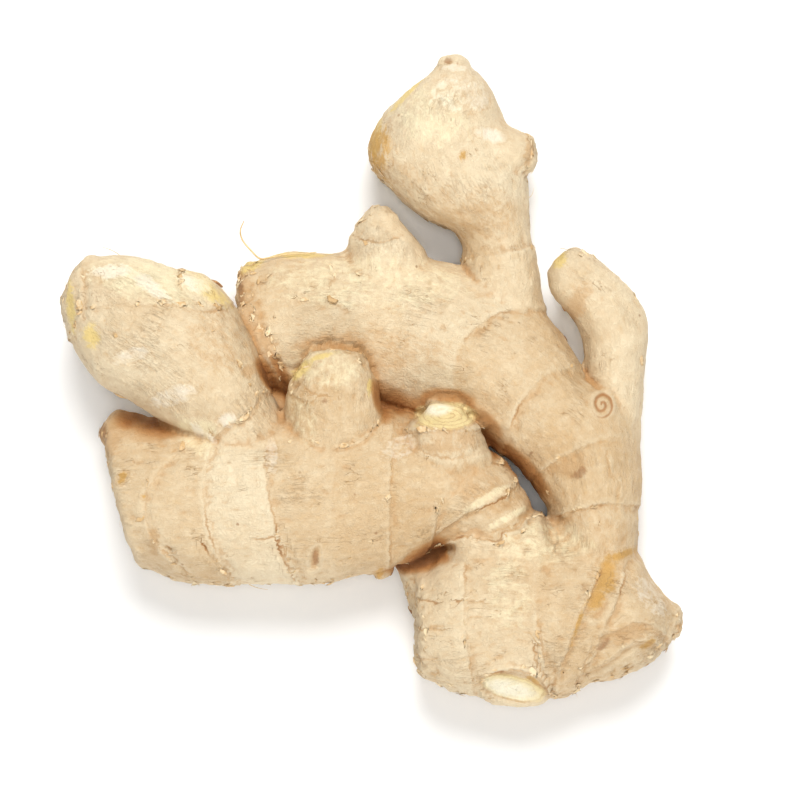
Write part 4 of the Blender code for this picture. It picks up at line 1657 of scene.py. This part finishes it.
@dataclass(frozen=True)
class GingerSkin:
    """The thin papery skin: cream to tan, streaked along the lobes, with shade painted into its hollows and
    creases.

    It also has the stains, the two cut faces and the coiled eye of a bud.
    """

    cream: Colour = (227, 210, 177)
    tan: Colour = (202, 171, 128)
    # pale is also laid as a painted highlight on the fine crests.
    pale: Colour = (240, 227, 196)
    white: Colour = (246, 237, 220)
    straw: Colour = (221, 192, 146)
    yellow: Colour = (230, 202, 122)
    rust: Colour = (200, 154, 82)
    brown: Colour = (140, 88, 42)
    # ring is the brown of the ring scars, and is also laid as painted shade in hollows and creases.
    ring: Colour = (186, 138, 84)
    # shade is painted crease shade and also the brown of the bud rims and the eye's coil; dark is painted
    # shade deep in the creases.
    shade: Colour = (164, 106, 52)
    dark: Colour = (104, 60, 28)
    flesh: Colour = (234, 212, 154)
    pith: Colour = (255, 248, 224)
    fibre: Colour = (236, 214, 150)
    bare: Colour = (240, 227, 188)
    husk: Colour = (194, 153, 104)
    eye: Triple = (50.1, -5.2, 2.5)
    roughness: float = 0.62

    def build(self) -> bpy.types.Material:
        """Makes the material.

        Returns:
            The material.
        """
        n = Finish(SLOT)
        coat = Coat(n, self.cream)
        self.paper(coat)
        self.stains(coat)
        self.rings(coat)
        self.shadows(coat)
        flesh = self.cuts(coat)
        swirl = self.swirl(n, coat.place)
        coat.paint(swirl, self.shade)
        return n.finish(
            {
                "Base Color": coat.colour,
                "Roughness": self.roughness + 0.3 * coat.mottle - 0.14 * flesh,
                "Normal": n.bumped(coat.height - 0.6 * swirl, 0.00035, 0.8),
                "Specular IOR Level": 0.3,
            }
        )

    def paper(self, coat: Coat) -> None:
        """Lays the papery skin: cream to tan, with creases and threads along the lobes, painted shade in its
        fine hollows and a painted highlight on its fine crests.

        Args:
            coat: What it goes on.
        """
        n, inner = coat.n, coat.inner
        broad = n.noise(coat.place, 45.0, 3.0, 0.5, 0.4) - 0.5
        warm = 0.42 + 0.6 * n.field("tone") + 1.1 * broad + 0.45 * coat.mottle + 0.3 * coat.creases
        coat.paint(warm.ramp(-0.1, 1.1), self.tan)
        coat.paint((coat.creases + 0.6 * coat.mottle).ramp(0.06, 0.24) * 0.3, self.straw)

        gather = n.noise(coat.place, 75.0, 3.0, 0.55).ramp(0.5, 0.68)
        rows = n.noise(n.stretched(coat.grain, (0.22, 1.3, 1.3)), 1.0, 3.0, 0.6, 1.0)
        crimp = abs(rows - 0.5).ramp(0.05, 0.0) * (0.1 + 0.9 * gather) * inner
        coat.paint(crimp * 0.22, self.ring)
        crinkle = abs(n.noise(coat.place, 620.0, 4.0, 0.6, 1.6) - 0.5).ramp(0.14, 0.0)
        coat.paint(crinkle * 0.12, self.ring)
        threads = coat.streaks((1.0, 2.2, 2.2), 0.65, 1.4)
        coat.paint((threads + 0.5 * coat.grit).ramp(0.06, 0.22) * 0.24, self.pale)

        # Painted shade in the fine hollows of the relief, and a painted highlight on its fine crests.
        crack = n.field("crack")
        coat.paint(crack.ramp(0.0, -0.9) * 0.16, self.pale)
        coat.paint(crack.ramp(0.15, 1.0) * 0.4, self.ring)
        coat.paint(coat.grit.ramp(0.12, 0.28) * 0.25, self.ring)
        coat.height = coat.height + 0.6 * threads - 0.25 * crinkle - 0.35 * crimp

    def stains(self, coat: Coat) -> None:
        """Lays the stained, bare and peeled patches, with broken edges.

        Args:
            coat: What they go on.
        """
        edge = 0.5 * coat.fine + 0.5 * coat.streaks((0.3, 0.8, 0.8), 0.65, 0.8)
        for stain, tint, strength, outline in (
            (Stain.HUSK, self.husk, 0.6, 0.0),
            (Stain.BARE, self.bare, 0.7, 0.06),
            (Stain.YELLOW, self.yellow, 0.75, 0.0),
            (Stain.PEEL, self.white, 0.5, 0.16),
            (Stain.RUST, self.rust, 0.9, 0.3),
            (Stain.BRUISE, self.brown, 0.55, 0.0),
        ):
            field = coat.n.field(stain.value) + 2.4 * edge
            coat.paint(field.ramp(0.0, 0.6) * strength, tint)
            # The thin dark line at a patch's edge is partly painted shadow under the torn skin edge and
            # partly the darker rim of the stain.
            if outline:
                coat.paint(abs(field).ramp(0.13, 0.03) * outline, self.ring)

    def rings(self, coat: Coat) -> None:
        """Draws the ring scars, the folds and the outlines of buds, broken here and there.

        Args:
            coat: What they go on.
        """
        n, patchy, faint = coat.n, coat.patchy, coat.faint
        gap = n.field("ring_gap") + 1.7 * coat.streaks((0.4, 0.8, 0.8), 0.6) + 0.9 * coat.fine
        near = n.field("ring_near")
        lip = abs(gap + 0.25).ramp(0.55, 0.05) * near
        line = abs(gap - 0.45).ramp(0.42, 0.05) * near
        coat.paint(gap.ramp(0.0, 0.3) * gap.ramp(2.6, 0.3) * near * 0.22, self.tan)
        coat.paint(lip * faint * (0.05 + 0.25 * patchy), self.pale)
        coat.paint(line * (0.1 + 0.3 * faint + 0.5 * faint * patchy), self.ring)
        coat.paint(line.ramp(0.35, 0.9) * patchy.ramp(0.5, 1.0) * faint * 0.6, self.brown)
        rims = n.field("rims") + 1.4 * coat.fine + 0.8 * coat.mottle
        coat.paint(rims.ramp(0.3, 0.9) * 0.65, self.shade)
        coat.height = coat.height + 0.3 * lip * faint - 0.45 * line

    def shadows(self, coat: Coat) -> None:
        """Lays the short tears, painted shade in the hollows and in the creases between lobes, and the
        specks.

        Args:
            coat: What they go on.
        """
        n, place, mottle = coat.n, coat.place, coat.mottle
        tears = n.noise(n.stretched(coat.grain, (0.2, 0.9, 0.9)), 1.0, 2.0, 0.5, 0.3)
        some = n.noise(place, 190.0, 2.0).ramp(0.58, 0.68)
        torn = abs(tears - 0.5).ramp(0.015, 0.003) * some * coat.inner
        coat.paint(torn * 0.6, self.ring)
        coat.height = coat.height - 0.7 * torn
        # Painted shade: darker in the broad basins and in the crevices.
        coat.paint((n.field("basin") + 0.2 * mottle).ramp(0.0, 0.6) * 0.3, self.ring)
        coat.paint((n.field("crevice") + 0.15 * mottle).ramp(0.1, 0.8) * 0.45, self.ring)
        # Painted shade in the creases between lobes, deepest where the crease is deepest.
        gloom = n.field("gloom") + 0.12 * mottle + 0.1 * coat.creases
        coat.paint(gloom.ramp(0.05, 0.55) * 0.8, self.ring)
        coat.paint(gloom.ramp(0.3, 0.85) * 0.85, self.shade)
        coat.paint(gloom.ramp(0.65, 1.0) * 0.7, self.dark)
        specks = n.specks(place, 240.0).ramp(0.12, 0.05) * n.noise(place, 55.0, 2.0).ramp(0.52, 0.68)
        coat.paint(specks * 0.6, self.brown)

    def cuts(self, coat: Coat) -> Value:
        """Lays the flesh of the two cut faces, with its layers, veins and pith, and the rind round it.

        Args:
            coat: What they go on.

        Returns:
            How much of the flesh shows.
        """
        n, fine = coat.n, coat.fine
        depth = n.field(Stain.FLESH.value)
        flesh = (depth + 0.5 * fine).ramp(-0.04, 0.12)
        rind = abs(depth + 0.3 * fine - 0.02).ramp(0.12, 0.02) * (0.2 + 0.8 * coat.patchy)
        layers = abs(((depth + 0.35 * fine) * 4.5).math("FRACT") - 0.5).ramp(0.2, 0.0)
        veins = n.noise(coat.place, 700.0, 2.0).ramp(0.5, 0.75)
        pith = (n.field(Stain.PITH.value) + 0.6 * fine).ramp(-0.25, 0.5)
        meat = n.blend(layers * 0.6 * (1 - pith), self.flesh, self.husk)
        meat = n.blend(veins * 0.3, n.blend(pith * 0.85, meat, self.pith), self.fibre)
        coat.paint(flesh * 0.9, meat)
        coat.paint(rind * 0.6, self.ring)
        coat.height = coat.height + 0.2 * flesh * layers
        return flesh

    def swirl(self, n: Finish, place: bpy.types.NodeSocket) -> Value:
        """Draws the coiled eye of a dormant bud near the thumb.

        Args:
            n: The tree.
            place: The place on the piece, in metres.

        Returns:
            How dark the coil is, from 0 to 1.
        """
        x, y, radius = self.eye
        parts = n.node("ShaderNodeSeparateXYZ", {}, {0: place}).outputs
        across = Value(n, parts[0]) / MM - x
        up = (Value(n, parts[1]) / MM - y) * 0.85
        far = (across * across + up * up).math("SQRT") / radius
        turn = up.math("ARCTAN2", across) / (2 * math.pi)
        wobble = 0.25 * (n.noise(place, 900.0, 2.0) - 0.5)
        coil = abs((far * 1.7 + turn + wobble).math("FRACT") - 0.5).ramp(0.36, 0.05)
        return coil * far.ramp(1.1, 0.9) * Value(n, parts[2]).ramp(0.012, 0.016) * 0.75


@dataclass(frozen=True)
class Scraps:
    """Dry skin that has come loose, old root scars, and fibres."""

    name: str
    light: Colour
    deep: Colour
    roughness: float = 0.7

    def build(self) -> bpy.types.Material:
        """Makes the material.

        Returns:
            The material.
        """
        n = Finish(self.name)
        place = n.place()
        broad = n.noise(place, 160.0, 2.0)
        fine = n.noise(place, 1400.0, 3.0, 0.6)
        colour = n.blend((broad + 0.6 * (fine - 0.5)).ramp(0.34, 0.66), self.light, self.deep)
        rough = self.roughness + 0.3 * (fine - 0.5)
        return n.finish({"Base Color": colour, "Roughness": rough, "Normal": n.bumped(fine, 0.0001, 0.6)})


class Scrap(Enum):
    """Small things that grow on the skin or come loose from it."""

    FLAKE = "skin_flakes"
    NUB = "root_nubs"
    HAIR = "fine_fibres"


@dataclass(frozen=True)
class Spots:
    """Places on the skin: a point in millimetres, its normal, the way that a scrap runs, and its scale."""

    points: np.ndarray
    normals: np.ndarray
    runs: np.ndarray
    sizes: np.ndarray

    def joined(self, other: Spots) -> Spots:
        """These spots and the others."""
        pairs = zip(vars(self).values(), vars(other).values())
        return Spots(*(np.concatenate(pair) for pair in pairs))


@dataclass(frozen=True)
class Scatter:
    """One kind of scrap set on many spots of the skin.

    Sizes are in millimetres. Raggedness is the number of waves in a metre of its torn outline.
    """

    scrap: Scrap
    length: float
    width: float
    thickness: float
    curl: float
    seed: int = SEED
    raggedness: float = 1200.0
    raggedness_depth: float = 2.4
    tilt: Triple = (0.35, 0.35, 0.5)
    tip: float = 0.35

    def hair(self, tree: Tree, given: bpy.types.NodeOutputs) -> bpy.types.NodeSocket:
        """Adds a hair that bends away from the skin and thins to its tip.

        Args:
            tree: The tree.
            given: The tree's inputs.

        Returns:
            Its shape.
        """
        end = tree.out("ShaderNodeCombineXYZ", {}, {0: given["Length"], 1: given["Curl"], 2: given["Curl"]})
        bend = tree.out("ShaderNodeCombineXYZ", {}, {0: given["Curl"], 2: given["Curl"]})
        points = {"Resolution": 6, "Start": (0.0, 0.0, 0.0), "Middle": bend, "End": end}
        line = tree.out("GeometryNodeCurveQuadraticBezier", {}, points)
        along = tree.out("GeometryNodeSplineParameter", {}, {}, "Factor")
        taper = tree.out("ShaderNodeMapRange", {}, {"Value": along, "To Min": 1.0, "To Max": self.tip})
        half = tree.out("ShaderNodeMath", {"operation": "MULTIPLY"}, {0: given["Thickness"], 1: 0.5})
        circle = {"Resolution": 4, "Radius": half}
        ring = tree.out("GeometryNodeCurvePrimitiveCircle", {"mode": "RADIUS"}, circle)
        tube = {"Curve": line, "Profile Curve": ring, "Scale": taper, "Fill Caps": True}
        return tree.out("GeometryNodeCurveToMesh", {}, tube)

    def scale(self, tree: Tree, given: bpy.types.NodeOutputs) -> bpy.types.NodeSocket:
        """Adds a flat scale whose long sides curl up, or down where its curl is below 0.

        Args:
            tree: The tree.
            given: The tree's inputs.

        Returns:
            Its shape.
        """
        ball = tree.out("GeometryNodeMeshUVSphere", {}, {"Segments": 8, "Rings": 5, "Radius": 0.5})
        sides = {0: given["Length"], 1: given["Width"], 2: given["Thickness"]}
        size = tree.out("ShaderNodeCombineXYZ", {}, sides)
        flat = tree.out("GeometryNodeTransform", {}, {"Geometry": ball, "Scale": size})
        place = tree.out("GeometryNodeInputPosition", {}, {})
        across = tree.out("ShaderNodeSeparateXYZ", {}, {0: place}, 1)
        share = tree.out("ShaderNodeMath", {"operation": "DIVIDE"}, {0: across, 1: given["Width"]})
        square = tree.out("ShaderNodeMath", {"operation": "MULTIPLY"}, {0: share, 1: share})
        lift = tree.out("ShaderNodeMath", {"operation": "MULTIPLY"}, {0: square, 1: given["Curl"]})
        offset = tree.out("ShaderNodeCombineXYZ", {}, {2: lift})
        return tree.out("GeometryNodeSetPosition", {}, {"Geometry": flat, "Offset": offset})

    def tears(self, tree: Tree, normal: bpy.types.NodeSocket) -> bpy.types.NodeSocket:
        """Adds the uneven push that tears the outline of a scrap, level with the skin.

        Args:
            tree: The tree.
            normal: Normal of the skin.

        Returns:
            The push.
        """
        wave = tree.out("ShaderNodeTexNoise", {}, {"Scale": self.raggedness, "Detail": 1.0}, "Color")
        centred = tree.out("ShaderNodeVectorMath", {"operation": "SUBTRACT"}, {0: wave, 1: (0.5, 0.5, 0.5)})
        rise = tree.out("ShaderNodeVectorMath", {"operation": "PROJECT"}, {0: centred, 1: normal})
        level = tree.out("ShaderNodeVectorMath", {"operation": "SUBTRACT"}, {0: centred, 1: rise})
        depth = {0: level, "Scale": self.raggedness_depth * MM}
        return tree.out("ShaderNodeVectorMath", {"operation": "SCALE"}, depth)

    @staticmethod
    def kept(tree: Tree, name: str, kind: str) -> bpy.types.NodeSocket:
        """Reads what the spots keep under a name."""
        return tree.out("GeometryNodeInputNamedAttribute", {"data_type": kind}, {"Name": name}, "Attribute")

    def group(self, finish: bpy.types.Material) -> bpy.types.GeometryNodeTree:
        """Builds the node group that puts the scraps on their spots.

        Args:
            finish: Material of the scraps.

        Returns:
            The group, with its sizes as named inputs.
        """
        group = bpy.data.node_groups.new(self.scrap.value, "GeometryNodeTree")
        group.interface.new_socket("Geometry", in_out="INPUT", socket_type="NodeSocketGeometry")
        for name in ("Length", "Width", "Thickness", "Curl"):
            group.interface.new_socket(name, in_out="INPUT", socket_type="NodeSocketFloat")
        group.interface.new_socket("Seed", in_out="INPUT", socket_type="NodeSocketInt")
        group.interface.new_socket("Geometry", in_out="OUTPUT", socket_type="NodeSocketGeometry")
        tree = Tree(group)
        given = group.nodes.new("NodeGroupInput").outputs
        shape = self.hair(tree, given) if self.scrap is Scrap.HAIR else self.scale(tree, given)
        normal = self.kept(tree, "facing", "FLOAT_VECTOR")
        run = self.kept(tree, "run", "FLOAT_VECTOR")
        axes = {"primary_axis": "Z", "secondary_axis": "X"}
        turn = tree.out("FunctionNodeAxesToRotation", axes, {0: normal, 1: run})
        most = {0: tuple(-t for t in self.tilt), 1: self.tilt, "Seed": given["Seed"]}
        wobble = tree.out("FunctionNodeRandomValue", {"data_type": "FLOAT_VECTOR"}, most)
        tilted = tree.out("FunctionNodeRotateRotation", {"rotation_space": "LOCAL"}, {0: turn, 1: wobble})
        spots = {"Points": given["Geometry"], "Instance": shape, "Rotation": tilted}
        size = self.kept(tree, "size", "FLOAT")
        scraps = tree.out("GeometryNodeInstanceOnPoints", {}, {**spots, "Scale": size})
        real = tree.out("GeometryNodeRealizeInstances", {}, {0: scraps})
        push = self.tears(tree, normal)
        torn = tree.out("GeometryNodeSetPosition", {}, {"Geometry": real, "Offset": push})
        dressed = tree.out("GeometryNodeSetMaterial", {}, {"Geometry": torn, "Material": finish})
        smooth = tree.out("GeometryNodeSetShadeSmooth", {}, {"Geometry": dressed})
        tree.node("NodeGroupOutput", {}, {0: smooth})
        return group

    def build(self, spots: Spots, finish: bpy.types.Material) -> bpy.types.Object:
        """Sets the scraps on their spots as one plain mesh.

        Args:
            spots: Where they go, in the row frame but in millimetres.
            finish: Material of the scraps.

        Returns:
            The finished piece.
        """
        mesh = bpy.data.meshes.new("spots")
        mesh.from_pydata((spots.points * MM).tolist(), [], [])
        for name, values in (("facing", spots.normals), ("run", spots.runs)):
            mesh.attributes.new(name, "FLOAT_VECTOR", "POINT").data.foreach_set("vector", values.ravel())
        mesh.attributes.new("size", "FLOAT", "POINT").data.foreach_set("value", spots.sizes)
        carrier = add_object("spots", mesh)
        modifier = carrier.modifiers.new("Scraps", "NODES")
        modifier.node_group = self.group(finish)
        sizes = {
            "Length": self.length * MM,
            "Width": self.width * MM,
            "Thickness": self.thickness * MM,
            "Curl": self.curl * MM,
            "Seed": self.seed,
        }
        for item in modifier.node_group.interface.items_tree:
            if item.in_out == "INPUT" and item.name in sizes:
                modifier[item.identifier] = sizes[item.name]
        made = bpy.data.meshes.new_from_object(carrier.evaluated_get(bpy.context.evaluated_depsgraph_get()))
        bpy.data.objects.remove(carrier)
        keep_above_table(made)
        made.name = self.scrap.value
        return add_object(self.scrap.value, made)


@dataclass(frozen=True)
class Fibre:
    """A dry fibre that has come off the skin: points x, y and z in millimetres, and its thickness."""

    name: str
    points: tuple[Triple, ...]
    thickness: float = 0.42
    sides: int = 6
    taper: float = 0.35

    def build(self, finish: bpy.types.Material) -> bpy.types.Object:
        """Makes the fibre as a closed tube that thins towards both ends.

        Args:
            finish: Its material.

        Returns:
            The piece.
        """
        path = smooth_path(np.array(self.points), 0.5)
        share = np.linspace(0.0, 1.0, len(path))
        radius = 0.5 * self.thickness * (self.taper + (1 - self.taper) * np.sin(math.pi * share) ** 0.5)
        ahead = np.gradient(path, axis=0)
        ahead /= np.linalg.norm(ahead, axis=1)[:, None]
        side = np.cross(ahead, UP)
        side /= np.linalg.norm(side, axis=1)[:, None]
        up = np.cross(side, ahead)
        shape = bmesh.new()
        loops = []
        for middle, size, one, two in zip(path, radius, side, up):
            turns = [2 * math.pi * k / self.sides for k in range(self.sides)]
            rim = [middle + size * (math.cos(t) * one + math.sin(t) * two) for t in turns]
            rim = [((p[0] + FRAME_SHIFT[0]) * MM, (p[1] + FRAME_SHIFT[1]) * MM, p[2] * MM) for p in rim]
            loops.append([shape.verts.new(p) for p in rim])
        for one, two in zip(loops, loops[1:]):
            for k in range(self.sides):
                n = (k + 1) % self.sides
                shape.faces.new((one[k], one[n], two[n], two[k]))
        shape.faces.new(loops[0])
        shape.faces.new(loops[-1])
        bmesh.ops.recalc_face_normals(shape, faces=shape.faces)
        mesh = bpy.data.meshes.new(self.name)
        shape.to_mesh(mesh)
        shape.free()
        mesh.materials.append(finish)
        mesh.shade_smooth()
        return add_object(self.name, mesh)


LOOSE_FIBRE = Fibre(
    "loose_fibre",
    (
        (-27.9, 35.2, 17.5), (-28.7, 33.0, 18.4), (-28.2, 30.8, 18.8), (-26.2, 28.4, 18.4),
        (-24.4, 26.8, 17.6), (-22.4, 27.0, 17.6), (-18.6, 27.7, 17.4), (-15.0, 27.9, 17.0),
        (-12.0, 28.3, 16.2),
    ),
)


@dataclass(frozen=True)
class Studio:
    """A pale floor, a soft light from the top of the picture, two weaker ones, and a camera above."""

    eye: Triple = (0.00597, -0.00418, 0.918)
    lens: float = 184.09
    sensor: float = 36.0
    nearest: float = 0.05
    floor_half: float = 1.2
    floor_colour: Colour = (250, 250, 249)
    aim: Triple = (0.0, 0.0, 0.015)
    key_watts: float = 10.6
    key_size: float = 0.5
    key_place: Triple = (0.06, 0.58, 0.95)
    fill_watts: float = 5.6
    fill_size: float = 0.4
    fill_place: Triple = (0.0, 0.0, 1.6)
    lift_watts: float = 5.0
    lift_place: Triple = (0.1, -0.9, 0.45)
    sky: float = 0.34

    def floor(self) -> None:
        """Makes the pale floor, which isn't part of the object."""
        h = self.floor_half
        mesh = bpy.data.meshes.new("floor")
        mesh.from_pydata([(-h, -h, 0.0), (h, -h, 0.0), (h, h, 0.0), (-h, h, 0.0)], [], [(0, 1, 2, 3)])
        white = linear(self.floor_colour)
        finish = {"Base Color": white, "Roughness": 0.9, "Specular IOR Level": 0.1}
        mesh.materials.append(Finish("floor").finish(finish))
        add_object("floor", mesh)

    def light(self, name: str, place: Triple, watts: float, size: float) -> None:
        """Adds one area light that looks at the root.

        Args:
            name: Its name.
            place: Where it hangs, in metres.
            watts: Its power.
            size: How wide it is.
        """
        lamp = bpy.data.lights.new(name, "AREA")
        lamp.shape = "DISK"
        lamp.size = size
        lamp.energy = watts
        light = add_object(name, lamp)
        light.location = place
        light.rotation_euler = (Vector(self.aim) - Vector(place)).to_track_quat("-Z", "Y").to_euler()

    def build(self) -> None:
        """Makes the floor, the lights, the sky and the camera."""
        self.floor()
        self.light("key", self.key_place, self.key_watts, self.key_size)
        self.light("fill", self.fill_place, self.fill_watts, self.fill_size)
        self.light("lift", self.lift_place, self.lift_watts, self.key_size)
        world = bpy.data.worlds.new("studio")
        world.use_nodes = True
        background = world.node_tree.nodes["Background"].inputs
        background["Color"].default_value = (1.0, 1.0, 1.0, 1.0)
        background["Strength"].default_value = self.sky
        scene = bpy.context.scene
        scene.world = world
        scene.view_settings.view_transform = "Standard"
        lens = bpy.data.cameras.new("camera")
        lens.lens = self.lens
        lens.sensor_width = self.sensor
        lens.sensor_fit = "HORIZONTAL"
        lens.clip_start = self.nearest
        camera = add_object("camera", lens)
        camera.location = self.eye
        scene.camera = camera


@dataclass(frozen=True)
class Litter:
    """The flakes, root nubs and fibres on the skin: how many of each, and what they are."""

    ring_flakes: int = 110
    loose_flakes: int = 60
    nub_count: int = 46
    hair_count: int = 60
    ring_hairs: int = 30
    flake_lift: float = 0.03
    upper: float = 0.015
    papery: Scraps = Scraps("papery_skin", (232, 211, 172), (206, 170, 120))
    scarred: Scraps = Scraps("root_scars", (206, 158, 104), (128, 84, 48))
    fibrous: Scraps = Scraps("dry_fibre", (226, 200, 146), (198, 156, 96))
    flakes: Scatter = Scatter(Scrap.FLAKE, 1.6, 0.7, 0.06, 0.3)
    nubs: Scatter = Scatter(Scrap.NUB, 1.5, 1.2, 0.6, -0.4)
    hairs: Scatter = Scatter(Scrap.HAIR, 2.2, 0.5, 0.09, 0.7, raggedness=300.0, raggedness_depth=0.8)

    def build(self, skin: Skin) -> list[bpy.types.Object]:
        """Sets everything on the skin.

        Args:
            skin: The finished skin.

        Returns:
            One piece of each kind.
        """
        rng = np.random.default_rng(SEED)
        flakes = skin.ring_spots(self.ring_flakes, rng)
        for fold in (*FOLDS, *EDGES):
            if fold.flakes:
                flakes = flakes.joined(skin.fold_spots(fold, rng))
        flakes = flakes.joined(skin.scattered(self.loose_flakes, rng, self.flake_lift, 1.0))
        nubs = skin.scattered(self.nub_count, rng, 0.0, self.upper)
        hairs = skin.scattered(self.hair_count, rng, 0.0, self.upper)
        hairs = hairs.joined(skin.ring_spots(self.ring_hairs, rng))
        fibrous = self.fibrous.build()
        return [
            self.flakes.build(flakes, self.papery.build()),
            self.nubs.build(nubs, self.scarred.build()),
            self.hairs.build(hairs, fibrous),
            LOOSE_FIBRE.build(fibrous),
        ]


def main() -> None:
    """Builds the studio and the root, and tells the frame what each piece is."""
    logging.basicConfig(level=logging.INFO, format="%(name)s: %(message)s")
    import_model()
    Studio().build()
    skin = Skin()
    piece = skin.build()
    piece.data.materials.clear()
    piece.data.materials.append(GingerSkin().build())
    piece.data.shade_smooth()
    for made in (piece, *Litter().build(skin)):
        LOG.info("%s: %d faces", made.name, len(made.data.polygons))
        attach(made, BODY)
    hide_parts(NODE)


if __name__ == "__main__":
    main()
